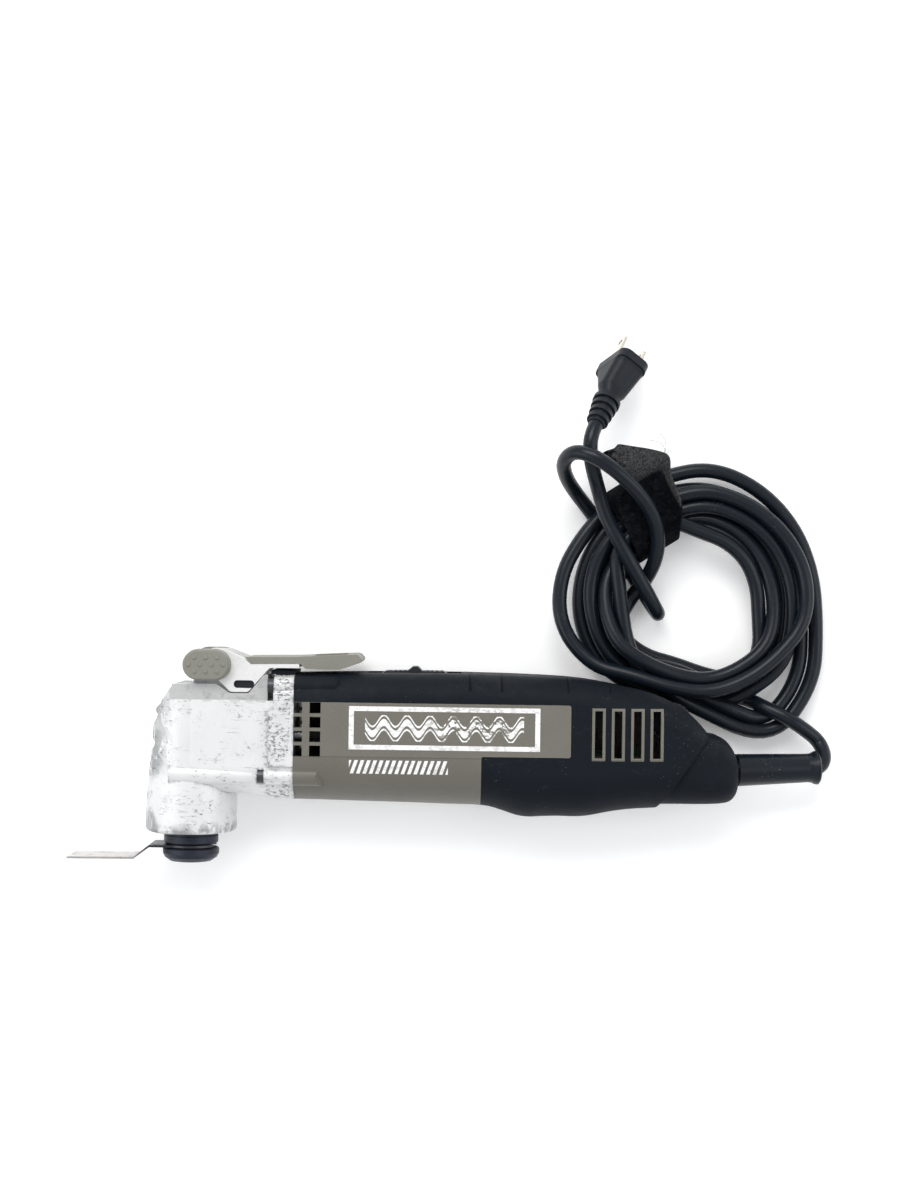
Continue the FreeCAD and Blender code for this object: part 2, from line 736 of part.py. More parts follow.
feature("fork_arm", fork_arm(), "spindle_x")


def blade():
    """A stepped blade: a slotted flange under the tool flange, a step and a toothed arm."""
    top, low = size("flange_low_y"), size("blade_low_y")
    half = 11.0
    drop = top - size("pin_low_y") - 2.2
    path = [(-12.0, 0), (-19.5, 0), (-27.2, -drop + 0.9), (-60.3, -drop + 0.7)]
    thick = 1.1
    upper = [Vector(x, top - 0.25 + y, -half) for x, y in path]
    lower = [Vector(x, top - 0.25 - thick + y, -half) for x, y in reversed(path)]
    arm = Part.Face(Part.makePolygon(upper + lower + upper[:1])).extrude(Vector(0, 0, 2 * half))
    disc = rod((0, top - 0.25 - thick, 0), (0, top - 0.25, 0), 13.2)
    disc = disc.fuse(box((-18.5, top - 0.25 - thick, -half), (0, top - 0.25, half)))
    keyway = rod((0, low - 2, 0), (0, top + 1, 0), 5.2).fuse(
        box((0, low - 2, -5.2), (20, top + 1, 5.2)))
    teeth = []
    count = 15
    pitch = 2 * half / count
    for index in range(count):
        z = -half + pitch * (index + 0.5)
        notch = Part.Face(Part.makePolygon([
            Vector(-61, -90, z - pitch / 2), Vector(-58.9, -90, z),
            Vector(-61, -90, z + pitch / 2), Vector(-61, -90, z - pitch / 2)]))
        teeth.append(notch.extrude(Vector(0, 60, 0)))
    return arm.fuse(disc).cut(Part.makeCompound(teeth)).cut(keyway)


feature("saw_blade", blade(), "spindle_x")

# ----------------------------------------------------------------------------
# Motor and eccentric drive, turned about the motor axis
# ----------------------------------------------------------------------------

shaft = turned("motor_shaft", [
    ("drive_x + drive_bearing_width / 2 + 1", "0"), ("rear_bearing_x + rear_bearing_width + 2", "0"),
    ("rear_bearing_x + rear_bearing_width + 2", "shaft_radius"),
    ("drive_x + drive_bearing_width / 2 + 1", "shaft_radius"),
])
pad(shaft, "YZ_Plane", "drive_x - drive_bearing_width / 2 - 1",
    "drive_bearing_width + 2", circles=[("eccentricity", "0", "journal_radius")])
drive_bearing = doc.addObject("PartDesign::Body", "eccentric_bearing")
pad(drive_bearing, "YZ_Plane", "drive_x - drive_bearing_width / 2", "drive_bearing_width",
    circles=[("eccentricity", "0", "drive_bearing_radius"),
             ("eccentricity", "0", "journal_radius + fit")])
keep(drive_bearing, "eccentric_bearing")
turned("front_motor_bearing", ring(
    "front_bearing_x", "front_bearing_x + front_bearing_width",
    "shaft_radius + fit", "front_bearing_radius"))
turned("rear_motor_bearing", ring(
    "rear_bearing_x", "rear_bearing_x + rear_bearing_width",
    "shaft_radius + fit", "rear_bearing_radius"))
turned("bearing_plate", ring(
    "front_bearing_x", "front_bearing_x + front_bearing_width",
    "front_bearing_radius + fit", "17 - fit"))

core = doc.addObject("PartDesign::Body", "armature_core")
pad(core, "YZ_Plane", "core_start_x", "core_end_x - core_start_x",
    circles=[("0", "0", "armature_radius"), ("0", "0", "shaft_radius + fit")])
slot = pocket(core, "YZ_Plane", "core_end_x", "core_end_x - core_start_x",
              [[("9.5", "-1.4"), ("18.5", "-1.4"), ("18.5", "1.4"), ("9.5", "1.4")]])
around(core, slot, 12)
keep(core, "armature_core")

windings = doc.addObject("PartDesign::Body", "armature_windings")
pad(windings, "YZ_Plane", "core_start_x - 8", "8 - gap",
    circles=[("0", "0", "15.5"), ("0", "0", "5.5")])
bar = pad(windings, "YZ_Plane", "core_start_x - 1", "core_end_x - core_start_x + 2",
          [[("9.8", "-1.1"), ("15.3", "-1.1"), ("15.3", "1.1"), ("9.8", "1.1")]])
around(windings, bar, 12)
pad(windings, "YZ_Plane", "core_end_x + gap", "7",
    circles=[("0", "0", "15.5"), ("0", "0", "5.5")])
keep(windings, "armature_windings")

commutator = doc.addObject("PartDesign::Body", "commutator")
pad(commutator, "YZ_Plane", "commutator_x", "commutator_length",
    circles=[("0", "0", "commutator_radius"), ("0", "0", "shaft_radius + fit")])
groove = pocket(commutator, "YZ_Plane", "commutator_x + commutator_length", "commutator_length",
                [[("9.9", "-0.2"), ("11", "-0.2"), ("11", "0.2"), ("9.9", "0.2")]])
around(commutator, groove, 18)
keep(commutator, "commutator")

fan = doc.addObject("PartDesign::Body", "cooling_fan")
pad(fan, "YZ_Plane", "fan_x + 9", "1.6",
    circles=[("0", "0", "fan_radius"), ("0", "0", "shaft_radius + fit")])
pad(fan, "YZ_Plane", "fan_x", "9.5", circles=[("0", "0", "8"), ("0", "0", "shaft_radius + fit")])
vane = pad(fan, "YZ_Plane", "fan_x + 2", "7.5",
           [[("7.5", "-0.7"), ("fan_radius - 0.5", "-2.4"), ("fan_radius - 0.5", "-1.0"),
             ("7.5", "0.7")]])
around(fan, vane, 11)
keep(fan, "cooling_fan")

stator = doc.addObject("PartDesign::Body", "stator_core")
pad(stator, "YZ_Plane", "core_start_x", "core_end_x - core_start_x",
    circles=[("0", "0", "stator_radius"), ("0", "0", "stator_bore")])
pocket(stator, "YZ_Plane", "core_end_x", "core_end_x - core_start_x",
       [[("-9", "15"), ("9", "15"), ("9", "22.6"), ("-9", "22.6")],
        [("-9", "-22.6"), ("9", "-22.6"), ("9", "-15"), ("-9", "-15")]])
keep(stator, "stator_core")


def field_coils():
    """Two saddle coils: half rings at both ends joined by bars through the stator."""
    start, end = size("core_start_x"), size("core_end_x")
    coils = []
    for side in SIDES:
        halves = []
        for x in (start - 7.3, end + 0.3):
            turn = rod((x, 0, 0), (x + 7, 0, 0), 23.6).cut(rod((x - 1, 0, 0), (x + 8, 0, 0), 18.9))
            low, high = sorted((side * 0.6, side * 40))
            halves.append(turn.common(box((x, low, -40), (x + 7, high, 40))))
        low, high = sorted((side * 0.6, side * 8.6))
        for z in (-22.2, 18.9):
            halves.append(box((start - 1, low, z), (end + 1, high, z + 3.3)))
        coils.append(halves[0].fuse(halves[1:]))
    return Part.makeCompound(coils)


feature("field_coils", field_coils())

BRUSH_X = size("commutator_x") + 7


def brush_gear():
    """Holders, carbon brushes and their springs on both sides of the commutator."""
    holders, brushes, springs = [], [], []
    for side in SIDES:
        parts = [box((BRUSH_X - 4.5, -5.2, 11.4), (BRUSH_X + 4.5, 5.2, 24.4)).cut(
            box((BRUSH_X - 3.1, -4.1, 11), (BRUSH_X + 3.1, 4.1, 23.6))),
            box((BRUSH_X - 3, -4, 10.6), (BRUSH_X + 3, 4, 18))]
        coil = Part.makeHelix(1.1, 4.4, 2.0)
        wire = Part.Wire(Part.makeCircle(0.3, Vector(2.0, 0, 0), Vector(0, 1, 0)))
        spring = Part.Wire(coil.Edges).makePipeShell([wire], True, True)
        spring.translate(Vector(BRUSH_X, 0, 18.6))
        for group, shape in zip((holders, brushes, springs), parts + [spring]):
            if side < 0:
                shape.rotate(Vector(BRUSH_X, 0, 0), Vector(1, 0, 0), 180)
            group.append(shape)
    return [Part.makeCompound(group) for group in (holders, brushes, springs)]


for label, shape in zip(("brush_holders", "carbon_brushes", "brush_springs"), brush_gear()):
    feature(label, shape)

# ----------------------------------------------------------------------------
# Clamp lever
# ----------------------------------------------------------------------------

PIVOT = Vector(size("pivot_x"), size("pivot_y"), 0)


def clamp_lever():
    """Two cheek plates round the pin, joined by a web under the grip."""
    low, high = size("arm_inner_z"), size("arm_outer_z")
    cheek = [(-125.4, 42.9, 7.0), (-109.6, 42.9, 5.0), (-100.4, 39.2, 2.0), (-96.6, 36.0, 0.4),
             (-73.0, 36.4, 0.4), (-73.0, 34.6, 0.4), (-87.6, 34.3, 2.0), (-97.9, 22.4, 2.5),
             (-106.6, 22.4, 3.0), (-112.6, 28.2, 2.5), (-125.4, 28.2, 7.0)]
    plates = []
    floor = high - 2.2
    for start, end, pocket in ((low, high, (floor, 30)), (-high, -low, (-30, -floor))):
        plate = slab(cheek, start, end)
        plates.append(plate.cut(slab([(-105.0, 24.3, 1.8), (-94.9, 24.3, 1.8), (-94.9, 28.1, 1.8),
                                      (-105.0, 28.1, 1.8)], *pocket)))
    web = slab([(-96.0, 34.5, 0.5), (-73.0, 34.6, 0.4), (-73.0, 36.4, 0.4), (-96.0, 36.0, 0.5)],
               -low - 0.1, low + 0.1)
    bore = rod((PIVOT.x, PIVOT.y, -30), (PIVOT.x, PIVOT.y, 30), 3.03)
    return plates[0].fuse([plates[1], web]).cut(bore)


def lever_grip():
    """The moulded grip on top of the lever, with its turned-up tip."""
    half = size("arm_outer_z") - 0.1
    grip = slab([(-99.7, 39.5, 0.3), (-75.0, 39.9, 0), (-52.0, 41.2, 8), (-44.6, 41.5, 2.4),
                 (-41.2, 38.0, 1.5), (-53.5, 33.7, 2), (-69.8, 34.0, 1.2), (-72.6, 36.5, 1.0),
                 (-96.3, 36.1, 0.4)], -half, half)
    dip = slab([(-70, 43, 0), (-66, 38.6, 4), (-52, 39.4, 4), (-47, 44, 0)], -half + 4, half - 4)
    return grip.cut(dip)


def lever_pad(side):
    """A pill-shaped end pad with ten small domes."""
    long_half, tall_half = size("pad_long") / 2, size("pad_tall") / 2
    near, far = size("pad_inner_z"), size("pad_outer_z")
    rings = []
    for z, grow in ((near, 0.5), (far - 0.8, 0.1), (far, -0.7)):
        wire = rounded([(-long_half - grow, -tall_half - grow, tall_half + grow - 0.01),
                        (long_half + grow, -tall_half - grow, tall_half + grow - 0.01),
                        (long_half + grow, tall_half + grow, tall_half + grow - 0.01),
                        (-long_half - grow, tall_half + grow, tall_half + grow - 0.01)])
        rings.append(wire.translated(Vector(0, 0, z)))
    pill = Part.makeLoft(rings, True, True)
    domes = []
    for row, count in ((-1, 3), (0, 4), (1, 3)):
        for index in range(count):
            x = (index - (count - 1) / 2) * 5.6
            domes.append(Part.makeSphere(1.35, Vector(x, row * 3.45, far - 0.6)))
    pill = pill.fuse(domes)
    pill.translate(PIVOT)
    if side < 0:
        pill.rotate(PIVOT, Vector(0, 1, 0), 180)
    return pill


def pivot_pin():
    """The lever's pin with the cam that bears on the clamp."""
    pin = rod((PIVOT.x, PIVOT.y, -20.4), (PIVOT.x, PIVOT.y, 20.4), 3.0)
    return pin.fuse(rod((PIVOT.x - 1.6, PIVOT.y - 1.2, -7.6), (PIVOT.x - 1.6, PIVOT.y - 1.2, 7.6), 7.0))


feature("clamp_lever", clamp_lever())
feature("lever_grip", lever_grip())
feature("left_lever_pad", lever_pad(1))
feature("right_lever_pad", lever_pad(-1))
feature("lever_pivot_pin", pivot_pin())

# ----------------------------------------------------------------------------
# Switch, speed control and cord entry
# ----------------------------------------------------------------------------


def switch_slider():
    """The sliding thumb plate with its ridge, and the stem that goes into the housing."""
    x, top, half = size("slider_x"), size("slider_top_y"), size("slider_half")
    end = x + size("slider_length")
    low = 31.3
    plate = slab([(x, low, 0), (x, 32.0, 0.6), (x + 2.5, top - 0.2, 1), (x + 13.2, top, 1),
                  (x + 15.6, top + 2.1, 1), (x + 18.2, top + 2.1, 1), (x + 20.2, top, 1),
                  (end - 2, top - 0.1, 1), (end, 32.0, 0.6), (end, low, 0)], -half, half)
    grooves = []
    for first in (x + 4, x + 22.4):
        for index in range(4):
            spot = first + 2.4 * index
            grooves.append(box((spot, top - 0.5, -half + 2), (spot + 1, top + 1, half - 2)))
    stem = box((-22, 25.4, -2.8), (-14, low + 0.5, 2.8))
    return plate.cut(Part.makeCompound(grooves)).fuse(stem)


feature("switch_slider", switch_slider())
feature("switch_rod", box((-14, 25.6, -2), (63.5, 27.4, 2)))
module = box((64.2, 6, -9), (84, 22, 9)).fuse([
    box((64.2, 22, -6), (70, 26.2, 6)), box((76, 1.5, -7), (77, 6, -5)), box((76, 1.5, 5), (77, 6, 7))])
feature("switch_module", module)


def speed_board():
    """A circuit board with a capacitor, a heat sink and the speed potentiometer."""
    board = box((64, -15.6, -16), (104, -14, 16))
    parts = [rod((70, -10, -6), (84, -10, -6), 4.2), box((88, -14.2, -12), (100, -4, -10)),
             box((68, -14.2, 4), (80, -9, 12)), box((88, -14.2, 2), (96, -8, 12))]
    return board.fuse(parts)


def speed_dial():
    """A thumb wheel with a grooved rim, recessed in the slope of the tail."""
    x, y, radius, half = size("dial_x"), size("dial_y"), size("dial_radius"), size("dial_width") / 2
    wheel = rod((x, y, -half), (x, y, half), radius)
    rims = [edge for edge in wheel.Edges if edge.Curve.TypeId == "Part::GeomCircle"]
    wheel = wheel.makeChamfer(0.6, rims)
    count = 24
    notches = [rod((x + radius * math.cos(2 * math.pi * index / count),
                    y + radius * math.sin(2 * math.pi * index / count), -half - 1),
                   (x + radius * math.cos(2 * math.pi * index / count),
                    y + radius * math.sin(2 * math.pi * index / count), half + 1), 0.5)
               for index in range(count)]
    return wheel.cut(Part.makeCompound(notches))


feature("speed_control_board", speed_board())
feature("speed_dial", speed_dial())
feature("cord_clamp", box((127.2, -20.5, -9), (131.6, -8.5, 6)).cut(
    rod((120, -14.4, -1.5), (140, -14.4, -1.5), 3.8)))

SLEEVE_START = Vector(144.1, -14.4, -1.5)
SLEEVE_END = Vector(186.7, -12.9, -6.0)


def strain_relief():
    """A tapered rubber sleeve with a rolled lip, fixed in the tail by its collar."""
    along = SLEEVE_END - SLEEVE_START
    length = along.Length
    outline = [(-9.5, 0), (-9.5, 7.0), (-6.5, 7.0), (-6.5, 5.8), (1.0, 5.8), (1.0, 8.1),
               (length - 6, 7.2), (length - 4, 7.4), (length - 2.2, 8.3), (length - 0.8, 8.5),
               (length, 7.6), (length, 0)]
    face = Part.Face(Part.makePolygon([Vector(x, r, 0) for x, r in outline + outline[:1]]))
    sleeve = face.revolve(Vector(), Vector(1, 0, 0), 360)
    sleeve.Placement = Placement(SLEEVE_START, Rotation(Vector(1, 0, 0), along))
    return sleeve


sleeve_solid = strain_relief()
feature("strain_relief_sleeve", sleeve_solid.copy())

# ----------------------------------------------------------------------------
# Cord, plug and strap: x and height above the surface, y from the motor axis
# ----------------------------------------------------------------------------

AXIS_Y = size("motor_axis_y")
CORD_RADIUS = size("cord_radius")
COIL_CENTRE = (120.3, 70.5)
COIL_OUTER = 69.0
COIL_INNER = 37.0
COIL_HEIGHT = 22.0

LEAD = [(184.6, -14.0, 23.5), (188.2, -12.2, 21.8), (190.3, -9.0, 19.1), (190.4, -4.8, 15.6),
        (188.4, -0.2, 12.3), (182.9, 4.3, 9.2), (174.6, 8.6, 6.4), (163.6, 12.6, 4.4),
        (150.6, 17.0, 3.9)]
PLUG_ALONG = Vector(0.36, 0.755, -0.548).normalize()
PLUG_FACE = Vector(86.6, 188.5, 14.6)
PLUG_LENGTH = 42.0
PLUG_END = PLUG_FACE - PLUG_ALONG * PLUG_LENGTH
FREE_END = [(PLUG_END.x, PLUG_END.y, PLUG_END.z), (68.7, 151.0, 41.2), (68.6, 141.8, 40.6),
            (71.0, 132.6, 35.4), (74.0, 124.5, 28.0)]


def tube(points):
    """A round cord along straight runs joined by tangent arcs as large as the runs allow."""
    places = [Vector(*point) for point in points]
    edges, spot, radii = [], places[0], []
    for before, corner, after in zip(places, places[1:], places[2:]):
        back, ahead = before - corner, after - corner
        shorter = min(back.Length, ahead.Length)
        turn = math.pi - back.getAngle(ahead)
        radius = 0.45 * shorter / math.tan(turn / 2)
        radii.append(round(radius, 1))
        reach = 0.45 * shorter
        back.normalize()
        ahead.normalize()
        start, end = corner + back * reach, corner + ahead * reach
        inward = (back + ahead).normalize()
        middle = corner + inward * (radius / math.cos(turn / 2) - radius)
        edges.append(Part.LineSegment(spot, start).toShape())
        edges.append(Part.Arc(start, middle, end).toShape())
        spot = end
    edges.append(Part.LineSegment(spot, places[-1]).toShape())
    path = Part.Wire(edges)
    around_start = Part.Wire(Part.makeCircle(CORD_RADIUS, places[0], places[1] - places[0]))
    solid = path.makePipeShell([around_start], True, False)
    expected = math.pi * CORD_RADIUS ** 2 * path.Length
    print("cord radii", radii, "length", round(path.Length, 1),
          "volume over section times length", round(solid.Volume / expected, 4))
    return solid


def coil():
    """The tied coil beside the tool, kept clear of the housing, with its knotted lump."""
    x, y = COIL_CENTRE
    wheel = Part.makeCylinder(COIL_OUTER, COIL_HEIGHT, Vector(x, y, 0.2))
    hole = Part.makeCylinder(COIL_INNER, 60, Vector(x, y, -10))
    lump = slab([(50, 138, 8), (64, 149, 8), (92, 140, 8), (112, 106, 8), (102, 84, 8),
                 (80, 84, 8), (56, 112, 8)], 0.2, 34)
    tool_edge = [(30, 34.8), (66, 33.0), (80, 31.0), (100, 26.8), (114, 21.0), (124, 13.4),
                 (133, 7.6), (141, 4.0), (147, -4.0), (147, -40), (30, -40), (30, 34.8)]
    tool = Part.Face(Part.makePolygon([Vector(*spot, -10) for spot in tool_edge])).extrude(
        Vector(0, 0, 60))
    return wheel.cut(hole).cut(tool).fuse(lump)


def beside(label, shape):
    """A piece of the cord, placed on the surface with y measured from the motor axis."""
    item = feature(label, shape, stand=False)
    item.Placement = Placement(Vector(0, AXIS_Y, 0), Rotation())
    item.setExpression("Placement.Base.y", bound("motor_axis_y"))


def plug_frame():
    """The plug's own directions: along its axis, across both blades, and between them."""
    wide = Vector(0.766, -0.60, -0.246)
    wide = (wide - PLUG_ALONG * wide.dot(PLUG_ALONG)).normalize()
    return Placement(PLUG_FACE, Rotation(PLUG_ALONG, wide, PLUG_ALONG.cross(wide), "XYZ"))


def oblong(x, width, height, corner):
    """A rounded rectangle across the plug's axis."""
    wire = rounded([(width / 2, -height / 2, corner), (width / 2, height / 2, corner),
                    (-width / 2, height / 2, corner), (-width / 2, -height / 2, corner)])
    turn = Placement(Vector(x, 0, 0), Rotation(Vector(1, 1, 1), 120))
    wire.transformShape(turn.toMatrix())
    return wire


def plug_body():
    """Moulded two-blade plug: ribbed strain relief, waist, body and front flange."""
    neck_end = -PLUG_LENGTH + 19
    body = Part.makeLoft([oblong(neck_end - 1, 9.0, 9.0, 4.4), oblong(neck_end + 5, 15.0, 11.0, 5.0),
                          oblong(-6.5, 17.0, 22.0, 5.0), oblong(-5, 17.5, 24.0, 5.0)], True, True)
    flange = Part.makeLoft([oblong(-5, 17.5, 26.0, 4.5), oblong(0, 17.5, 26.0, 4.5)], True, True)
    neck = Part.makeCone(4.2, 6.2, 19, Vector(-PLUG_LENGTH, 0, 0), Vector(1, 0, 0))
    ribs = []
    for index in range(4):
        x = -PLUG_LENGTH + 2.0 + 4.2 * index
        radius = 5.5 + 0.5 * index
        ribs.append(Part.makeCylinder(radius, 2.4, Vector(x, 0, 0), Vector(1, 0, 0)))
    solid = neck.fuse(ribs + [body, flange])
    pins = [box((-3, spot, -3.4), (1, spot + 1.6, 3.4)) for spot in (-7.1, 5.5)]
    solid = solid.cut(Part.makeCompound(pins))
    solid.Placement = plug_frame()
    return solid


def plug_blades():
    """Two flat blades, one a little wider, each with a hole near its tip."""
    blades = []
    for spot, half in ((-7.1, 3.2), (5.5, 3.3)):
        blade_shape = box((-3, spot + 0.05, -half), (15.5, spot + 1.55, half))
        edges = [edge for edge in blade_shape.Edges
                 if edge.Length < 1.6 and edge.CenterOfMass.x > 15]
        blade_shape = blade_shape.makeChamfer(0.9, edges)
        hole = Part.makeCylinder(1.6, 6, Vector(11.7, spot - 2, 0), Vector(0, 1, 0))
        blades.append(blade_shape.cut(hole))
    pair = Part.makeCompound(blades)
    pair.Placement = plug_frame()
    return pair


coil_solid = coil()
sleeve_solid.translate(Vector(0, 0, size("half_width")))
lead_solid = tube(LEAD).cut(coil_solid.fuse(sleeve_solid))
plug_solid = plug_body()
free_solid = tube(FREE_END).cut(coil_solid.fuse(plug_solid))
tie_block = slab([(73, 96, 6), (112, 92, 6), (118, 140, 6), (88, 149, 6)], 0.2, 40)
tie_solid = max(tie_block.cut(coil_solid).cut(free_solid).Solids, key=lambda solid: solid.Volume)
beside("cord_lead", lead_solid)
beside("cord_coil", coil_solid)
beside("cord_end", free_solid)
beside("cord_tie", tie_solid)
beside("plug_body", plug_solid)
beside("plug_blades", plug_blades())

# ----------------------------------------------------------------------------
# Checks and export
# ----------------------------------------------------------------------------

doc.recompute()
for item in doc.Objects:
    if "Invalid" in item.State or "Error" in item.State:
        raise RuntimeError("%s failed: %s" % (item.Name, item.State))
for item in NODES:
    if item.Shape.isNull() or not item.Shape.isValid():
        raise RuntimeError("the shape of %s is not valid" % item.Label)

os.makedirs("parts", exist_ok=True)
for item in NODES:
    item.Shape.exportStep("parts/%s.step" % item.Label)
print(len(NODES), "sub-parts written")
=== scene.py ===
"""Looks of the corded oscillating multi tool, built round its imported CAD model."""

import json
import math

import bmesh
import bpy
import numpy as np
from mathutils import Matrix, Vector


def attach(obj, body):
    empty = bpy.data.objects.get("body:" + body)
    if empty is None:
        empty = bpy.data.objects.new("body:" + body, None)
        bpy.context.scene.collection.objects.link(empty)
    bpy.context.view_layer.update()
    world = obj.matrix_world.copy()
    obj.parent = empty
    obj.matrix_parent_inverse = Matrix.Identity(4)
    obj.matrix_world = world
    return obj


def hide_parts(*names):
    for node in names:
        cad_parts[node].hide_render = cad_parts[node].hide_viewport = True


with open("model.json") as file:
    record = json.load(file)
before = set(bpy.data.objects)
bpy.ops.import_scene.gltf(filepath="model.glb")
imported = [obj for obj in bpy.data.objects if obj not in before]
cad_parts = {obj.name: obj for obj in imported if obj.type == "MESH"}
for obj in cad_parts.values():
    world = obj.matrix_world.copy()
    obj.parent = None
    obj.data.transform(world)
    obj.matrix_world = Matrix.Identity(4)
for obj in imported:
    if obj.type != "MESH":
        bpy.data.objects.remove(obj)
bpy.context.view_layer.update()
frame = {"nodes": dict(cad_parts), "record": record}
nodes = frame["nodes"]

# height of the motor's axis over the floor, mm
TOOL_AXIS_HEIGHT = 28.5

# the strap's middle on the floor, and its own directions: across the tape, and out of the coil
STRAP_AT = Vector((0.0935, 0.1223, 0))
STRAP_ALONG = Vector((0.843, 0.537, 0))
STRAP_OUT = Vector((-0.537, 0.843, 0))


# ----------------------------------------------------------------------------
# Camera and light
# ----------------------------------------------------------------------------

scene = bpy.context.scene
scene.view_settings.view_transform = "Standard"
scene.view_settings.look = "None"

# straight down from about a metre, turned a little, as the photo was taken
camera = bpy.data.objects.new("camera", bpy.data.cameras.new("camera"))
scene.collection.objects.link(camera)
camera.location = (0.0004, 0.0788, 1.0285)
camera.rotation_euler = (0, 0, math.radians(0.8))
camera.data.lens = 60
camera.data.sensor_width = 36
camera.data.clip_start = 0.05
camera.data.clip_end = 50
scene.camera = camera


def area_light(name, place, target, size, power, colour):
    """A soft rectangular lamp that faces a point."""
    lamp = bpy.data.lights.new(name, "AREA")
    lamp.shape = "RECTANGLE"
    lamp.size, lamp.size_y = size
    lamp.energy = power
    lamp.color = colour
    holder = bpy.data.objects.new(name, lamp)
    holder.location = place
    away = Vector(place) - Vector(target)
    holder.rotation_euler = away.to_track_quat("Z", "Y").to_euler()
    scene.collection.objects.link(holder)


area_light("window", (-0.25, 1.15, 1.35), (0, 0.05, 0), (1.3, 0.9), 20, (1.0, 0.99, 0.98))
area_light("fill_left", (-1.3, -0.2, 1.0), (0, 0, 0), (0.9, 1.2), 6, (0.97, 0.985, 1.0))
area_light("fill_right", (1.3, 0.1, 1.1), (0, 0.05, 0), (0.9, 1.2), 6, (0.97, 0.985, 1.0))

world = bpy.data.worlds.new("studio")
scene.world = world
world.use_nodes = True
sky = world.node_tree
height = sky.nodes.new("ShaderNodeSeparateXYZ")
sky.links.new(sky.nodes.new("ShaderNodeTexCoord").outputs["Generated"], height.inputs[0])
dim = sky.nodes.new("ShaderNodeMapRange")
dim.interpolation_type = "SMOOTHSTEP"
for name, number in (("From Min", 0.15), ("From Max", 0.85), ("To Min", 0.95), ("To Max", 0.62)):
    dim.inputs[name].default_value = number
sky.links.new(height.outputs["Z"], dim.inputs["Value"])
sky.links.new(dim.outputs["Result"], sky.nodes["Background"].inputs["Strength"])
sky.nodes["Background"].inputs["Color"].default_value = (0.97, 0.98, 1.0, 1)


# ----------------------------------------------------------------------------
# Materials
# ----------------------------------------------------------------------------

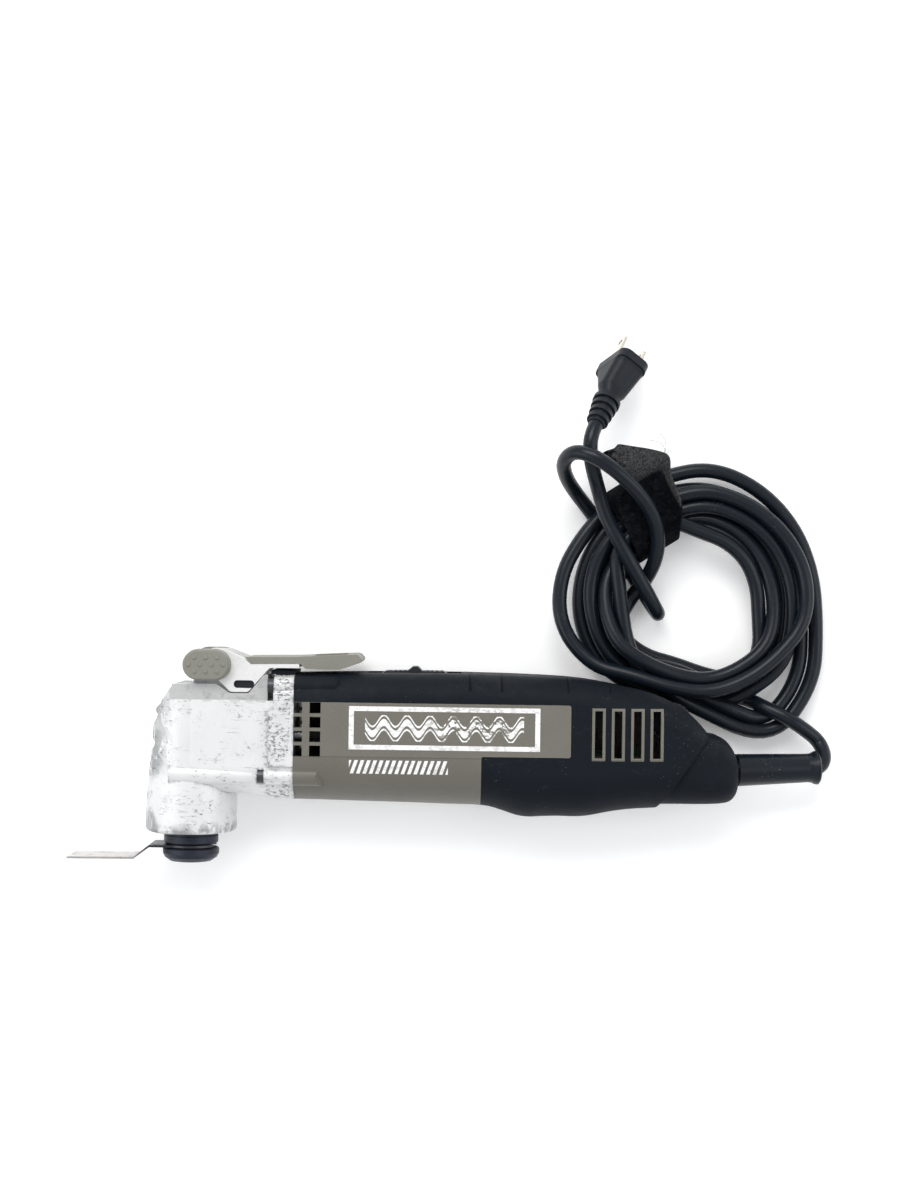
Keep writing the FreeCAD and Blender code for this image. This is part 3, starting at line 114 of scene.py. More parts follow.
class Paint:
    """A material with short calls that add its nodes and link them."""

    def __init__(self, name):
        self.take(bpy.data.materials.new(name))

    @classmethod
    def on(cls, material):
        """More nodes for a material that is already made."""
        paint = cls.__new__(cls)
        paint.take(material)
        return paint

    def take(self, material):
        """Works on this material from now on."""
        self.material = material
        material.use_nodes = True
        self.tree = material.node_tree
        self.shader = self.tree.nodes["Principled BSDF"]
        self.place = self.add("ShaderNodeTexCoord").outputs["Object"]
        self.normal = self.add("ShaderNodeNewGeometry").outputs["Normal"]

    def add(self, kind, **values):
        """A node; each value goes to the input of that name, or is a property of the node."""
        node = self.tree.nodes.new(kind)
        for name, value in values.items():
            name = name.replace("_", " ") if name[0].isupper() else name
            if name[0].isupper():
                self.put(node.inputs[name], value)
            else:
                setattr(node, name, value)
        return node

    def put(self, socket, value):
        """Links a socket to the input, or writes a number or a colour into it."""
        if isinstance(value, bpy.types.NodeSocket):
            self.tree.links.new(value, socket)
        elif socket.type == "RGBA" and not isinstance(value, float):
            socket.default_value = (*value[:3], 1)
        else:
            socket.default_value = value

    def math(self, operation, a, b=0.0, clamp=False):
        """One sum of sockets or numbers."""
        node = self.add("ShaderNodeMath", operation=operation, use_clamp=clamp)
        self.put(node.inputs[0], a)
        self.put(node.inputs[1], b)
        return node.outputs[0]

    def both(self, a, b):
        """1 where both are, so it also scales a value by a number."""
        return self.math("MULTIPLY", a, b)

    def noise(self, scale, detail=3.0, rough=0.55, stretch=(1, 1, 1), twist=0.0):
        """Noise from 0 to 1; scale is in features per metre."""
        spot = self.add("ShaderNodeMapping", Vector=self.place, Scale=stretch).outputs[0]
        node = self.add("ShaderNodeTexNoise", Vector=spot, Scale=float(scale), Detail=detail,
                        Roughness=rough, Distortion=twist)
        return node.outputs["Fac"]

    def spots(self, scale):
        """Distance to the nearest of many scattered points, in parts of their spacing."""
        return self.add("ShaderNodeTexVoronoi", Vector=self.place,
                        Scale=float(scale)).outputs["Distance"]

    def step(self, value, low, high):
        """A smooth step from 0 to 1 as value goes from low to high."""
        node = self.add("ShaderNodeMapRange", interpolation_type="SMOOTHSTEP")
        for name, number in (("Value", value), ("From Min", low), ("From Max", high)):
            self.put(node.inputs[name], number)
        return node.outputs["Result"]

    def mix(self, share, a, b):
        """Between two colours."""
        node = self.add("ShaderNodeMix", data_type="RGBA")
        self.put(node.inputs[0], share)
        self.put(node.inputs[6], a)
        self.put(node.inputs[7], b)
        return node.outputs[2]

    def blend(self, share, a, b):
        """Between two numbers."""
        node = self.add("ShaderNodeMix", data_type="FLOAT")
        self.put(node.inputs[0], share)
        self.put(node.inputs[2], a)
        self.put(node.inputs[3], b)
        return node.outputs[0]

    def part(self, vector, axis):
        """One axis of a vector."""
        return self.add("ShaderNodeSeparateXYZ", Vector=vector).outputs[axis]

    def side_view(self):
        """The place across and up the side view, in metres."""
        return self.part(self.place, "X"), self.part(self.place, "Y")

    def shown(self, name="Base Color"):
        """What already goes into one of the shader's inputs."""
        return self.shader.inputs[name].links[0].from_socket

    def coat(self, share, colour):
        """Lays a colour over what the material already shows."""
        self.put(self.shader.inputs["Base Color"], self.mix(share, self.shown(), colour))

    def edges(self, radius):
        """1 along sharp edges and 0 on flat faces."""
        soft = self.add("ShaderNodeBevel", Radius=radius, samples=4).outputs[0]
        turn = self.add("ShaderNodeVectorMath", operation="DOT_PRODUCT")
        self.put(turn.inputs[0], soft)
        self.put(turn.inputs[1], self.normal)
        return self.step(self.math("SUBTRACT", 1.0, turn.outputs["Value"]), 0.02, 0.16)

    def finish(self, colour, rough, bumps=(), **shader):
        """Bumps are (height socket, distance in metres) pairs, laid over each other."""
        self.put(self.shader.inputs["Base Color"], colour)
        self.put(self.shader.inputs["Roughness"], rough)
        for name, value in shader.items():
            self.put(self.shader.inputs[name.replace("_", " ")], value)
        normal = None
        for height, distance in bumps:
            bump = self.add("ShaderNodeBump", Strength=1.0, Distance=distance, Height=height)
            if normal is not None:
                self.put(bump.inputs["Normal"], normal)
            normal = bump.outputs["Normal"]
        if normal is not None:
            self.put(self.shader.inputs["Normal"], normal)
        return self.material


def shade(colour, by):
    """A darker or lighter colour of the same hue."""
    return tuple(min(1.0, c * by) for c in colour)


def scratches(p, scale, stretch, share=0.66):
    """Fine broken lines along one direction."""
    return p.step(p.noise(scale, 5, 0.7, stretch, 0.4), share, share + 0.05)


def plastic(name, base, rough=0.5, grain=1800, height=0.00005, dust=0.0, rub=0.3, spec=0.4):
    """Moulded plastic or rubber: spark texture, rubbed edges, hairline scratches and dust."""
    p = Paint(name)
    cloud, fine = p.noise(45, 5), p.noise(grain, 2, 0.7)
    colour = p.mix(cloud, shade(base, 0.88), shade(base, 1.12))
    colour = p.mix(p.both(p.step(fine, 0.5, 0.75), 0.35), colour, shade(base, 1.5))
    worn = p.both(p.edges(0.0007), p.step(p.noise(260, 5), 0.42, 0.6))
    colour = p.mix(p.both(worn, rub), colour, shade(base, 2.4))
    lines = p.both(scratches(p, 240, (1, 9, 9)), p.step(cloud, 0.45, 0.6))
    colour = p.mix(p.both(lines, rub), colour, shade(base, 1.9))
    if dust:
        motes = p.both(p.step(p.spots(560), 0.14, 0.07), p.step(p.noise(38, 3), 0.5, 0.62))
        haze = p.step(p.noise(26, 6, 0.7), 0.5, 0.8)
        colour = p.mix(p.both(p.math("MAXIMUM", motes, p.both(haze, 0.12)), dust), colour,
                       (0.40, 0.40, 0.38))
    gloss = p.blend(p.noise(130, 4), rough - 0.1, rough + 0.08)
    gloss = p.math("SUBTRACT", gloss, p.both(worn, 0.1))
    return p.finish(colour, gloss, [(fine, height), (lines, -0.00003)], Specular_IOR_Level=spec)


def grip_rubber(base):
    """The soft grip: its rubber with narrow moulded grooves over the top edge, painted shade in the
    grooves, and pale smears.
    """
    grooves_at, groove_wide = (0.0105, 0.0260, 0.0585, 0.0790), 0.0009
    groove_low, groove_high, groove_soft = 0.0345, 0.0500, 0.0003
    material = plastic("grip_rubber", base, rough=0.6, grain=2600, height=0.00007, dust=0.22,
                       rub=0.2, spec=0.12)
    p = Paint.on(material)
    x, y = p.side_view()
    grooves = 0.0
    for left in grooves_at:
        groove = within(p, x, y, left, left + groove_wide, groove_low, groove_high, groove_soft)
        grooves = p.math("ADD", grooves, groove)
    smear = p.both(p.step(p.noise(48, 7, 0.75, (1, 2.5, 1), 0.8), 0.56, 0.78), 0.10)
    p.coat(smear, (0.14, 0.15, 0.16))
    # painted shade: the grooves are darkened, besides the bump that shapes them
    p.coat(p.both(grooves, 0.8), shade(base, 0.3))
    bump = p.add("ShaderNodeBump", Strength=1.0, Distance=0.0008,
                 Height=p.math("SUBTRACT", 1.0, grooves), Normal=p.shown("Normal"))
    p.put(p.shader.inputs["Normal"], bump.outputs["Normal"])
    return material


def metal(name, base, rough=0.35, metallic=1.0, stretch=(1, 1, 1), grain=900, rub=0.3,
          tarnish=(0.2, 0.18, 0.16), age=0.25, height=0.00002):
    """Machined or plated metal: tool marks along one way, bright edges and patchy tarnish."""
    p = Paint(name)
    marks = p.noise(grain, 3, 0.6, stretch)
    patch = p.step(p.noise(120, 6, 0.7), 0.5, 0.72)
    colour = p.mix(marks, shade(base, 0.85), shade(base, 1.12))
    colour = p.mix(p.both(patch, age), colour, tarnish)
    colour = p.mix(p.both(p.edges(0.0004), rub), colour, shade(base, 1.5))
    gloss = p.math("ADD", p.blend(marks, rough - 0.07, rough + 0.09), p.both(patch, 0.15))
    return p.finish(colour, gloss, [(marks, height)], Metallic=metallic)


def within(p, x, y, left, right, low, high, soft=0.00012):
    """1 inside a rectangle of the side view."""
    sides = p.both(p.step(x, left - soft, left + soft), p.step(x, right + soft, right - soft))
    ends = p.both(p.step(y, low - soft, low + soft), p.step(y, high + soft, high - soft))
    return p.both(sides, ends)


def bars(p, x, y, pitch, share, slant):
    """A row of slanted bars."""
    along = p.math("ADD", x, p.both(y, -slant))
    phase = p.math("FRACT", p.math("DIVIDE", p.math("ADD", along, 1.0), pitch))
    return p.both(p.step(phase, 0.02, 0.05), p.step(phase, share + 0.03, share))


# the wave of the print, and the line where the shell's side turns down, in the side view
WAVES_PER_METRE = 560.0
WAVE_HIGH = 0.0028
WAVE_MIDDLE = 0.0161
CREASE = 0.0018


def printed_plastic(base):
    """The left shell: its plastic with a worn white print, a framed wave over short strokes, and
    painted shade below and along the crease.
    """
    material = plastic("printed_plastic", base, rough=0.48, grain=1500, height=0.00005,
                       dust=0.12)
    p = Paint.on(material)
    x, y = p.side_view()
    outer = within(p, x, y, -0.0479, 0.0451, 0.0056, 0.0266)
    inner = within(p, x, y, -0.0455, 0.0427, 0.0079, 0.0243)
    frame_ink = p.math("SUBTRACT", outer, inner, True)
    wave = p.math("MULTIPLY", p.math("SINE", p.math("MULTIPLY", x, WAVES_PER_METRE)), WAVE_HIGH)
    off = p.math("ABSOLUTE", p.math("SUBTRACT", p.math("SUBTRACT", y, WAVE_MIDDLE), wave))
    ribbon = p.step(off, 0.0018, 0.0016)
    rim = p.both(p.step(off, 0.0029, 0.0031), p.step(off, 0.0041, 0.0039))
    panel = p.both(within(p, x, y, -0.0400, 0.0372, 0.0098, 0.0224),
                   p.math("MAXIMUM", ribbon, rim))
    small = p.both(within(p, x, y, -0.0476, 0.0005, -0.0062, 0.0004),
                   bars(p, x, y, pitch=0.0031, share=0.58, slant=0.35))
    ink = p.math("MAXIMUM", frame_ink, p.math("MAXIMUM", panel, small))
    rubbed = p.step(p.noise(170, 8, 0.75), 0.46, 0.5)
    core = within(p, x, y, -0.008, 0.032, 0.0095, 0.0250, 0.006)
    lost = p.step(p.noise(330, 8, 0.75, (1, 1.6, 1)), 0.5, 0.53)
    worst = p.math("MAXIMUM", core, p.both(rubbed, 0.35))
    kept = p.math("SUBTRACT", 1.0, p.both(lost, worst), True)
    top = p.step(p.part(p.normal, "Z"), 0.75, 0.85)
    ink = p.both(p.both(ink, kept), top)
    # painted shade: below the crease, where the side turns down away from the light, the plastic is
    # darkened, and a darker painted line of shade follows the crease itself
    below = p.both(p.step(y, CREASE + 0.0001, CREASE - 0.0004), 0.28)
    off_crease = p.math("ABSOLUTE", p.math("SUBTRACT", y, CREASE))
    p.coat(below, shade(base, 0.62))
    p.coat(p.both(p.step(off_crease, 0.0005, 0.0001), 0.5), shade(base, 0.4))
    p.coat(ink, (0.80, 0.80, 0.79))
    return material


def silver_paint():
    """Bright paint over a casting, rubbed to dark metal on corners and peppered with nicks."""
    p = Paint("silver_paint")
    x, y = p.side_view()
    fine = p.noise(2600, 2)
    colour = p.mix(p.noise(35, 4), (0.59, 0.595, 0.595), (0.76, 0.765, 0.76))
    smear = p.noise(95, 8, 0.72, (1.3, 0.7, 1), 0.9)
    broad = p.noise(30, 3)
    nicks = p.noise(420, 7, 0.8, (1, 1.7, 1))
    # the nose, the lower rim and the collar, in the side view
    left = p.step(x, -0.1325, -0.1450)
    rim = p.both(p.step(y, -0.0300, -0.0370), p.step(x, -0.098, -0.106))
    band = p.both(p.step(x, -0.0905, -0.087), p.step(x, -0.0745, -0.078))
    corner = p.edges(0.0022)
    smudge = p.both(p.math("MAXIMUM", left, rim), p.step(smear, 0.42, 0.53))
    smudge = p.both(smudge, p.step(broad, 0.33, 0.44))
    flake = p.both(band, p.both(p.step(nicks, 0.51, 0.58), p.step(p.noise(75, 3), 0.42, 0.54)))
    speck = p.both(p.step(nicks, 0.58, 0.63), p.step(p.noise(60, 3), 0.46, 0.54))
    chip = p.both(corner, p.step(p.noise(230, 6, 0.75), 0.45, 0.53))
    bare = p.math("MAXIMUM", p.math("MAXIMUM", flake, speck), p.both(chip, 0.8))
    lines = scratches(p, 60, (1, 10, 10), 0.60)
    colour = p.mix(p.both(p.step(broad, 0.35, 0.75), 0.24), colour, (0.33, 0.34, 0.35))
    colour = p.mix(p.both(smudge, 0.72), colour, (0.13, 0.135, 0.14))
    colour = p.mix(p.both(lines, 0.45), colour, (0.22, 0.22, 0.23))
    colour = p.mix(p.both(bare, 0.85), colour, (0.10, 0.10, 0.105))
    gloss = p.math("ADD", p.blend(smear, 0.34, 0.5), p.both(bare, 0.1))
    return p.finish(colour, gloss, [(fine, 0.00002), (bare, -0.00015), (smear, 0.00025)],
                    Metallic=0.18, Coat_Weight=0.15)


def cord_skin():
    """Drawn rubber: faint long streaks, dust caught in patches and a soft shine."""
    p = Paint("cord_rubber")
    streak, fine = p.noise(500, 3), p.noise(3000, 2)
    colour = p.mix(streak, (0.0040, 0.0068, 0.0108), (0.0070, 0.0112, 0.0168))
    motes = p.both(p.step(p.spots(700), 0.16, 0.08), p.step(p.noise(52, 3), 0.58, 0.68))
    film = p.both(p.step(p.noise(75, 6, 0.7), 0.55, 0.78), 0.05)
    colour = p.mix(p.both(p.math("MAXIMUM", motes, film), 0.4), colour, (0.36, 0.37, 0.37))
    return p.finish(colour, p.blend(p.noise(180, 4), 0.22, 0.36), [(fine, 0.00002)],
                    Specular_IOR_Level=0.24)


def strap_felt():
    """Hook-and-loop tape: matted dark pile, and a paler woven back at the loose end."""
    p = Paint("hook_and_loop")
    pile, tuft = p.noise(900, 5, 0.85, twist=1.5), p.noise(300, 7, 0.85, twist=0.8)
    x, y, z = (p.part(p.place, axis) for axis in "XYZ")
    ragged = p.math("MULTIPLY", p.math("SUBTRACT", p.noise(330, 5, 0.8), 0.5), 0.020)
    across = p.math("ADD", p.both(x, STRAP_ALONG.x), p.both(y, STRAP_ALONG.y))
    back = p.both(p.step(z, 0.0355, 0.0372), p.step(p.math("ADD", across, ragged), 0.1483, 0.1493))
    dark = p.mix(p.step(tuft, 0.45, 0.62), (0.0015, 0.0022, 0.0035), (0.011, 0.013, 0.017))
    pale = p.mix(p.step(pile, 0.40, 0.62), (0.014, 0.015, 0.017), (0.120, 0.121, 0.122))
    colour = p.mix(back, dark, pale)
    lint = p.both(p.step(pile, 0.60, 0.68), p.step(p.noise(110, 4), 0.45, 0.60))
    colour = p.mix(p.both(lint, 0.5), colour, (0.22, 0.22, 0.22))
    return p.finish(colour, p.blend(tuft, 0.8, 1.0), [(tuft, 0.0016), (pile, 0.0006)],
                    Specular_IOR_Level=0.08)


def lever_metal():
    """Bright painted lever; painted shade darkens the floor of the blind slot in each cheek."""
    material = metal("lever_metal", (0.74, 0.74, 0.73), rough=0.36, metallic=0.25,
                     stretch=(1, 4, 4), grain=700, tarnish=(0.45, 0.45, 0.44), age=0.3)
    p = Paint.on(material)
    x, y, z = (p.part(p.place, axis) for axis in "XYZ")
    off_axis = p.math("ABSOLUTE", p.math("SUBTRACT", z, TOOL_AXIS_HEIGHT / 1000))
    deep = p.step(off_axis, 0.0200, 0.0193)
    slot = p.both(within(p, x, y, -0.1055, -0.0945, 0.0340, 0.0384), deep)
    # painted shade: the floor of the blind slot is darkened nearly black, so the shallow pocket
    # looks like a deep hole
    p.coat(slot, (0.010, 0.012, 0.018))
    return material


def blade_steel():
    """Rolled steel with lengthwise marks, patchy dark tarnish, painted shade over the hub between
    the flange parts, and a bright cutting face.
    """
    material = metal("blade_steel", (0.56, 0.54, 0.52), rough=0.32, metallic=0.95,
                     stretch=(1, 14, 14), grain=260, rub=0.6, tarnish=(0.10, 0.095, 0.09),
                     age=0.45, height=0.00003)
    p = Paint.on(material)
    # painted shade: the hub, held between the flange and the clamp, is darkened nearly black
    hub = p.both(p.step(p.part(p.place, "X"), -0.158, -0.146), 0.93)
    p.coat(hub, (0.018, 0.021, 0.030))
    return material


def board():
    """A circuit board: green lacquer over copper tracks."""
    p = Paint("circuit_board")
    x, y = p.part(p.place, "X"), p.part(p.place, "Z")
    tracks = p.both(bars(p, x, y, 0.0042, 0.3, 0.0), p.step(p.noise(120, 2), 0.45, 0.5))
    colour = p.mix(tracks, (0.012, 0.055, 0.028), (0.03, 0.12, 0.05))
    colour = p.mix(p.both(p.step(p.noise(60, 5), 0.4, 0.7), 0.4), colour, (0.10, 0.09, 0.075))
    return p.finish(colour, p.blend(p.noise(300), 0.35, 0.6), [(tracks, 0.00005)])


TAUPE = (0.131, 0.125, 0.104)
RUBBER = (0.0042, 0.0068, 0.0105)

FINISHES = {
    "grey_plastic": plastic("grey_plastic", TAUPE, rough=0.48, grain=1500, dust=0.12),
    "black_rubber": plastic("black_rubber", RUBBER, rough=0.6, grain=2600, height=0.00007,
                            dust=0.35, rub=0.2, spec=0.12),
    "silver_paint": silver_paint(),
    "cover_metal": metal("cover_metal", (0.52, 0.52, 0.52), rough=0.42, metallic=0.45,
                         stretch=(1, 3, 3), grain=500, rub=0.9, tarnish=(0.17, 0.17, 0.175),
                         age=0.55, height=0.00004),
    "lever_metal": lever_metal(),
    "lever_plastic": plastic("lever_plastic", (0.185, 0.183, 0.156), grain=1900,
                             height=0.00006, dust=0.2),
    "cast_aluminium": metal("cast_aluminium", (0.6, 0.61, 0.62), rough=0.45, metallic=0.9,
                            grain=1500, height=0.00008),
    "steel": metal("steel", (0.55, 0.55, 0.56), rough=0.3, stretch=(1, 12, 1)),
    "dark_steel": metal("dark_steel", (0.075, 0.077, 0.085), rough=0.42, metallic=0.9),
    "blade_steel": blade_steel(),
    "black_oxide": metal("black_oxide", (0.020, 0.024, 0.036), rough=0.42, metallic=0.6,
                         stretch=(1, 16, 1), grain=220, rub=1.0, tarnish=(0.05, 0.05, 0.06),
                         age=0.4),
    "bearing_steel": metal("bearing_steel", (0.7, 0.7, 0.72), rough=0.16, stretch=(1, 10, 1)),
    "lamination_steel": metal("lamination_steel", (0.35, 0.36, 0.38), rough=0.4, metallic=0.9,
                              stretch=(30, 1, 1), grain=120, rub=0.2,
                              tarnish=(0.2, 0.12, 0.08), age=0.3, height=0.00015),
    "copper_wire": metal("copper_wire", (0.62, 0.30, 0.14), rough=0.3, metallic=0.9,
                         stretch=(1, 16, 16), grain=160, tarnish=(0.25, 0.1, 0.05), age=0.3,
                         height=0.0002),
    "brass": metal("brass", (0.72, 0.56, 0.27), rough=0.3, stretch=(1, 8, 1)),
    "carbon": plastic("carbon", (0.035, 0.035, 0.037), rough=0.65, grain=3000,
                      height=0.00006),
    "black_plastic": plastic("black_plastic", (0.012, 0.014, 0.018), rough=0.45, grain=2200,
                             height=0.00004, dust=0.25, rub=0.25, spec=0.3),
    "circuit_board": board(),
    "cord_rubber": cord_skin(),
    "hook_and_loop": strap_felt(),
    "plug_vinyl": plastic("plug_vinyl", (0.0060, 0.0085, 0.0125), rough=0.45, grain=2400,
                          height=0.00003, dust=0.2, rub=0.35, spec=0.22),
    "plug_nickel": metal("plug_nickel", (0.72, 0.69, 0.62), rough=0.25, stretch=(1, 9, 1)),
}


def wear(obj, material):
    """Gives an object one material."""
    obj.data.materials.clear()
    obj.data.materials.append(material)


for part in frame["record"]["subparts"]:
    wear(nodes[part["node"]], FINISHES[part["material_slot"]])
wear(nodes["left_housing_shell"], printed_plastic(TAUPE))
for side in ("left_grip_rubber", "right_grip_rubber"):
    wear(nodes[side], grip_rubber(RUBBER))


# ----------------------------------------------------------------------------
# Cord
# ----------------------------------------------------------------------------

CORD = 0.0074

# control points of the route, in metres: out of the sleeve and under the coil
LEAD = [
    (0.1846, -0.0040, 0.0235), (0.1882, -0.0022, 0.0218), (0.1903, 0.0010, 0.0191),
    (0.1904, 0.0052, 0.0156), (0.1884, 0.0098, 0.0123), (0.1829, 0.0143, 0.0092),
    (0.1746, 0.0186, 0.0064), (0.1636, 0.0226, 0.0044), (0.1506, 0.0270, 0.0039),
    (0.1390, 0.0310, 0.0039), (0.1270, 0.0345, 0.0039),
]
# up over the strap, round in a loop to the floor, and up again beside it
HITCH = [
    (0.0970, 0.0450, 0.0050), (0.0865, 0.0535, 0.0042), (0.0842, 0.0650, 0.0042),
    (0.0885, 0.0750, 0.0060), (0.0940, 0.0835, 0.0095), (0.0995, 0.0905, 0.0145),
    (0.1035, 0.0995, 0.0205), (0.1045, 0.1090, 0.0265), (0.1025, 0.1185, 0.0325),
    (0.0972, 0.1280, 0.0390), (0.0885, 0.1372, 0.0450), (0.0785, 0.1452, 0.0485),
    (0.0685, 0.1510, 0.0490), (0.0600, 0.1530, 0.0440), (0.0555, 0.1485, 0.0340),
    (0.0575, 0.1420, 0.0225), (0.0625, 0.1355, 0.0120), (0.0695, 0.1275, 0.0060),
    (0.0775, 0.1175, 0.0039), (0.0860, 0.1050, 0.0039), (0.0935, 0.0930, 0.0039),
    (0.1000, 0.0830, 0.0042), (0.1055, 0.0745, 0.0070), (0.1065, 0.0725, 0.0135),
    (0.1030, 0.0780, 0.0195), (0.0970, 0.0880, 0.0235), (0.0905, 0.0990, 0.0265),
    (0.0835, 0.1110, 0.0280), (0.0775, 0.1220, 0.0275),
]
# up into the plug
FREE_END = [
    (0.0740, 0.1345, 0.0280), (0.0710, 0.1426, 0.0354), (0.0686, 0.1518, 0.0406),
    (0.0687, 0.1610, 0.0412), (0.0715, 0.1668, 0.0376),
]

COIL_AT = Vector((0.1203, 0.0805, 0))
STATIONS = (260, 180, 150, 112, 90, 0, -38, -62)
# reach from the coil's middle and height of a turn's centreline at those bearings, mm; the turns
# run clockwise, so the bearings (degrees) fall
TURNS = [
    [(43.0, 3.9), (47.8, 3.9), (45.4, 11.0), (45.4, 11.0), (50.0, 5.0), (51.4, 3.9), (56.0, 3.9),
     (54.0, 3.9)],
    [(35.6, 3.9), (40.4, 3.9), (38.0, 11.0), (38.0, 11.0), (44.0, 5.0), (44.0, 3.9), (47.5, 10),
     (48.0, 10.4)],
    [(38.5, 18.0), (40.5, 13.0), (41.7, 17.5), (41.7, 17.5), (50.5, 12), (54.9, 10.4), (60.0, 8.0),
     (61.0, 5.0)],
    [(50.4, 3.9), (55.2, 3.9), (52.8, 11.0), (52.8, 11.0), (58.3, 5.0), (58.8, 3.9), (71.0, 3.9),
     (70.5, 3.9)],
    [(47.6, 10.6), (49.0, 10.4), (49.1, 17.5), (49.1, 17.5), (56.0, 12), (62.3, 10.4), (51.0, 17),
     (46.0, 17.5)],
    [(46.6, 17.5), (67.4, 5.0), (60.2, 11.0), (60.2, 11.0), (69.0, 11), (66.2, 6.0), (78.0, 3.9),
     (78.6, 3.9)],
    [(49.0, 10.8), (34.8, 7.0), (45.4, 24.0), (45.4, 24.0), (35.0, 18), (37.4, 12.0), (49.0, 8.0),
     (49.0, 10.8)],
]
LAST = (42.0, 10.5)
TURN_STEP = 22.5  # degrees between the coil's control points


def coil_points():
    """The coil's turns, clockwise from the lead's end, each eased from bearing to bearing."""
    marks = []
    for index, turn in enumerate(TURNS):
        for bearing, (reach, height) in zip(STATIONS, turn):
            marks.append((bearing - 360 * index, reach, height))
    marks.append((STATIONS[0] - 360 * len(TURNS), *LAST))
    points = []
    for index in range(round((marks[0][0] - marks[-1][0]) / TURN_STEP) + 1):
        bearing = marks[0][0] - TURN_STEP * index
        for (b0, r0, z0), (b1, r1, z1) in zip(marks, marks[1:]):
            if b1 - 1e-6 <= bearing <= b0 + 1e-6:
                t = (b0 - bearing) / (b0 - b1)
                t = t * t * (3 - 2 * t)
                reach, height = (r0 + (r1 - r0) * t) / 1000, (z0 + (z1 - z0) * t) / 1000
                angle = math.radians(bearing)
                points.append(COIL_AT + Vector((reach * math.cos(angle),
                                                reach * math.sin(angle), height)))
                break
    return points


# how strands lie on each other, on the floor and beside the tool, mm; low strands may lie a little
# under the tool's round side
STRAND_GAP = 7.5
CORD_HEIGHT = 3.9
# upper edge of the tool beside the coil: x and y
TOOL_EDGE = [(50, 44.0), (66, 43.0), (80, 41.0), (100, 36.8), (114, 31.0), (124, 23.4), (133, 17.6),
             (141, 14.0), (147, 6.0), (200, 0.0)]
TOOL_EDGE_ENDS = 145
TOOL_GAP = 4.2
TOOL_UNDERCUT = 8


def nearest_on_strands(a, b, c, d):
    """How far along ab and cd their nearest points are, from 0 to 1, and the way between them."""
    u, v, w = b - a, d - c, a - c
    uu, uv, vv = (u * u).sum(1), (u * v).sum(1), (v * v).sum(1)
    uw, vw = (u * w).sum(1), (v * w).sum(1)
    s = np.clip((uv * vw - vv * uw) / np.maximum(uu * vv - uv * uv, 1e-6), 0, 1)
    t = np.clip((uv * s + vw) / vv, 0, 1)
    s = np.clip((uv * t - uw) / uu, 0, 1)
    return s, t, w + u * s[:, None] - v * t[:, None]


def settle(points, held, rounds=160):
    """Pushes strands that run into each other apart, over the floor and beside the tool.

    The points at the indices in held stay where they are.
    """
    push_share, lean_up, stiffness, pull_back = 0.25, 0.6, 0.04, 0.01
    spots = np.array([tuple(point) for point in points]) * 1000
    start = spots.copy()
    first, second = np.triu_indices(len(spots) - 1, 3)
    free = np.ones(len(spots))
    free[list(held)] = 0.0
    loose = free > 0
    edge_x, edge_y = zip(*TOOL_EDGE)
    for _ in range(rounds):
        s, t, apart = nearest_on_strands(spots[first], spots[first + 1],
                                         spots[second], spots[second + 1])
        far = np.linalg.norm(apart, axis=1)
        close = far < STRAND_GAP
        if not close.any():
            break
        s, t, apart, far = s[close], t[close], apart[close], far[close]
        i, j = first[close], second[close]
        apart[:, 2] += np.where(apart[:, 2] < 0, -lean_up, lean_up)
        way = apart / np.linalg.norm(apart, axis=1)[:, None]
        push = way * (STRAND_GAP - far)[:, None] * push_share
        shift = np.zeros_like(spots)
        for index, share in ((i, 1 - s), (i + 1, s), (j, t - 1), (j + 1, -t)):
            np.add.at(shift, index, push * share[:, None])
        spots += shift * free[:, None]
        bend = spots[:-2, 2] + spots[2:, 2] - 2 * spots[1:-1, 2]
        spots[1:-1, 2] += stiffness * free[1:-1] * bend
        spots[:, :2] += pull_back * free[:, None] * (start[:, :2] - spots[:, :2])
        spots[loose, 2] = np.maximum(spots[loose, 2], CORD_HEIGHT)
        below = TOOL_AXIS_HEIGHT - np.minimum(spots[:, 2], TOOL_AXIS_HEIGHT)
        beside = np.interp(spots[:, 0], edge_x, edge_y) + TOOL_GAP
        beside -= TOOL_UNDERCUT * (below / TOOL_AXIS_HEIGHT) ** 2
        near = loose & (spots[:, 0] < TOOL_EDGE_ENDS)
        spots[near, 1] = np.maximum(spots[near, 1], beside[near])
    return [Vector(spot) / 1000 for spot in spots]


def nurbs_line(data, points, radius):
    """Adds an open, smooth spline with these control points to a curve."""
    line = data.splines.new("NURBS")
    line.points.add(len(points) - 1)
    for spot, place in zip(line.points, points):
        spot.co = (*place, 1)
        spot.radius = radius
    line.order_u = 3
    line.use_endpoint_u = True
    return line


def round_curve(name, bevel_resolution):
    """A curve object; each of its points carries its own radius in metres."""
    data = bpy.data.curves.new(name, "CURVE")
    data.dimensions = "3D"
    data.bevel_depth = 1
    data.bevel_resolution = bevel_resolution
    obj = bpy.data.objects.new(name, data)
    scene.collection.objects.link(obj)
    return obj


# the first points of the route are held, and so are all from this one of the hitch on
HELD_AT_EXIT = 5
LOOSE_IN_HITCH = 4

turns = coil_points()
route = [*LEAD, *turns, *HITCH, *FREE_END]
hitched = len(LEAD) + len(turns) + LOOSE_IN_HITCH
cord = round_curve("cord", bevel_resolution=6)
cord.data.use_fill_caps = True
lay = nurbs_line(cord.data, settle(route, [*range(HELD_AT_EXIT), *range(hitched, len(route))]),
                 CORD / 2)
lay.resolution_u = 8
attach(cord, "housing")
wear(cord, FINISHES["cord_rubber"])
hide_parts("cord_lead", "cord_coil", "cord_end")


# ----------------------------------------------------------------------------
# Hook-and-loop strap
# ----------------------------------------------------------------------------

def strap_point(along, out, height):
    """A place in the strap's own directions, mm, as a place in the row, metres."""
    return STRAP_AT + (STRAP_ALONG * along + STRAP_OUT * out) / 1000 + Vector((0, 0, height / 1000))


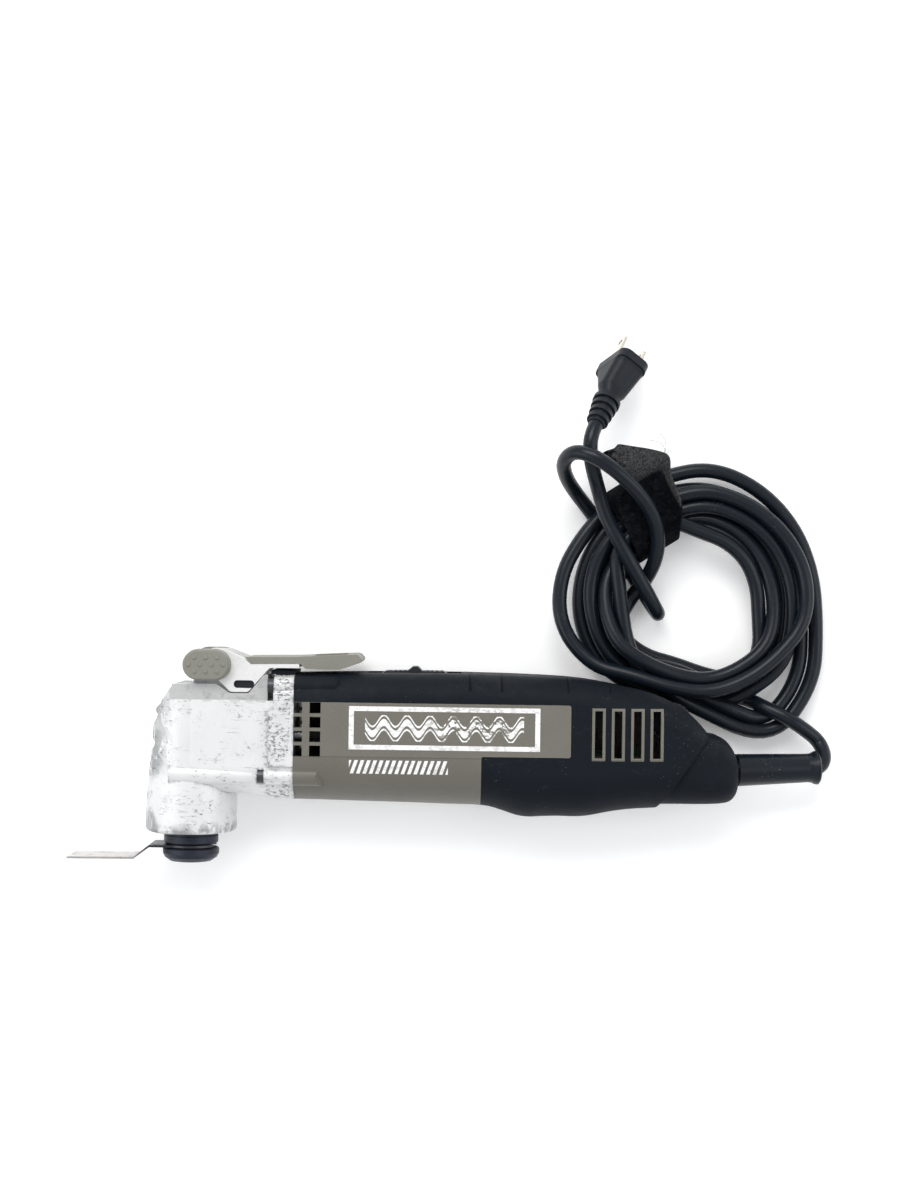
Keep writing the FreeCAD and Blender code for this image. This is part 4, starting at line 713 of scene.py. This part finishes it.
# out from the coil, height, left edge, right edge, and how far the right edge curls up, mm
STRAP = [
    (-4.0, 28.2, -8.5, 16.0, 0.0), (4.0, 28.6, -8.5, 16.0, 0.0), (11.0, 26.0, -9.0, 16.0, 0.0),
    (16.2, 20.0, -10.0, 15.0, 0.0), (18.6, 11.5, -10.0, 13.0, 0.0), (15.4, 3.2, -10.0, 11.0, 0.0),
    (6.0, 1.3, -10.0, 10.0, 0.0), (-7.0, 1.3, -10.0, 10.0, 0.0), (-17.0, 2.8, -10.0, 10.0, 0.0),
    (-21.6, 9.0, -10.0, 12.0, 0.0), (-20.6, 17.5, -10.0, 14.0, 1.0),
    (-14.5, 24.4, -9.5, 19.0, 5.0), (-8.8, 27.2, -9.0, 24.0, 8.5), (-3.0, 29.8, -8.5, 25.5, 9.5),
    (3.0, 30.8, -8.0, 26.0, 9.0), (9.0, 32.2, -6.5, 27.0, 8.0), (13.5, 34.6, -2.0, 28.5, 5.5),
    (16.5, 37.6, 4.0, 29.0, 2.0), (19.5, 39.2, 4.6, 27.0, 0.5), (25.0, 39.4, 3.0, 21.5, 0.0),
    (30.5, 38.8, 1.4, 15.0, 0.0), (35.0, 37.6, 0.0, 9.8, -0.5),
]


STRAP_COLUMNS = 10


def strap_mesh():
    """The tape's surface: rows along it, columns across, creased, with a ragged cut end."""
    mesh = bmesh.new()
    rows = []
    for row, (out, height, left, right, curl) in enumerate(STRAP):
        line = []
        for column in range(STRAP_COLUMNS + 1):
            share = column / STRAP_COLUMNS
            lift = curl * share ** 7 + 0.25 * math.sin(2.3 * row + 9.0 * share)
            pull = 0.45 * curl * share ** 5
            ragged = 0.6 * math.sin(7.0 * column) if row == len(STRAP) - 1 else 0.0
            frayed = 0.35 * math.sin(5.0 * row) if column in (0, STRAP_COLUMNS) else 0.0
            line.append(mesh.verts.new(strap_point(left + (right - left) * share - pull + frayed,
                                                   out + ragged, height + lift)))
        rows.append(line)
    for near, far in zip(rows, rows[1:]):
        for column in range(STRAP_COLUMNS):
            mesh.faces.new((near[column], near[column + 1], far[column + 1], far[column]))
    data = bpy.data.meshes.new("strap")
    mesh.to_mesh(data)
    mesh.free()
    return data


strap = bpy.data.objects.new("strap", strap_mesh())
scene.collection.objects.link(strap)
smooth = strap.modifiers.new("smooth", "SUBSURF")
smooth.levels = smooth.render_levels = 2
thick = strap.modifiers.new("thick", "SOLIDIFY")
thick.thickness = 0.0011
thick.offset = 0
for face in strap.data.polygons:
    face.use_smooth = True
wear(strap, FINISHES["hook_and_loop"])
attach(strap, "housing")
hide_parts("cord_tie")

THREADS = [
    [(0.1052, 0.1528, 0.0390), (0.1060, 0.1546, 0.0398), (0.1040, 0.1572, 0.0402),
     (0.1008, 0.1590, 0.0398), (0.0977, 0.1593, 0.0394)],
    [(0.1056, 0.1526, 0.0390), (0.1063, 0.1552, 0.0402), (0.1056, 0.1590, 0.0408),
     (0.1044, 0.1612, 0.0404), (0.1030, 0.1628, 0.0400)],
    [(0.1060, 0.1520, 0.0388), (0.1072, 0.1534, 0.0392), (0.1078, 0.1548, 0.0396)],
]
FIBRE = 0.00026

threads = round_curve("strap_threads", bevel_resolution=2)
for strand in THREADS:
    nurbs_line(threads.data, strand, FIBRE / 2)
fibre = Paint("frayed_fibre")
wear(threads, fibre.finish(fibre.mix(fibre.noise(900, 3), (0.12, 0.12, 0.12), (0.45, 0.45, 0.44)),
                           0.8, [(fibre.noise(4000, 2), 0.00002)]))
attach(threads, "housing")


# ----------------------------------------------------------------------------
# Floor
# ----------------------------------------------------------------------------

FLOOR_REACH = 4.0

floor_mesh = bpy.data.meshes.new("floor")
corners = [(x * FLOOR_REACH, y * FLOOR_REACH, 0) for x, y in ((-1, -1), (1, -1), (1, 1), (-1, 1))]
floor_mesh.from_pydata(corners, [], [(0, 1, 2, 3)])
floor = bpy.data.objects.new("floor", floor_mesh)
scene.collection.objects.link(floor)
# the paper gives a little light of its own, because the photo's background is burnt out to white
paper = Paint("paper")
wear(floor, paper.finish(paper.mix(paper.noise(300, 4), (0.94, 0.94, 0.94), (0.97, 0.97, 0.97)),
                         0.7, [(paper.noise(2500, 2), 0.00003)],
                         Emission_Color=(1.0, 1.0, 1.0), Emission_Strength=0.16))
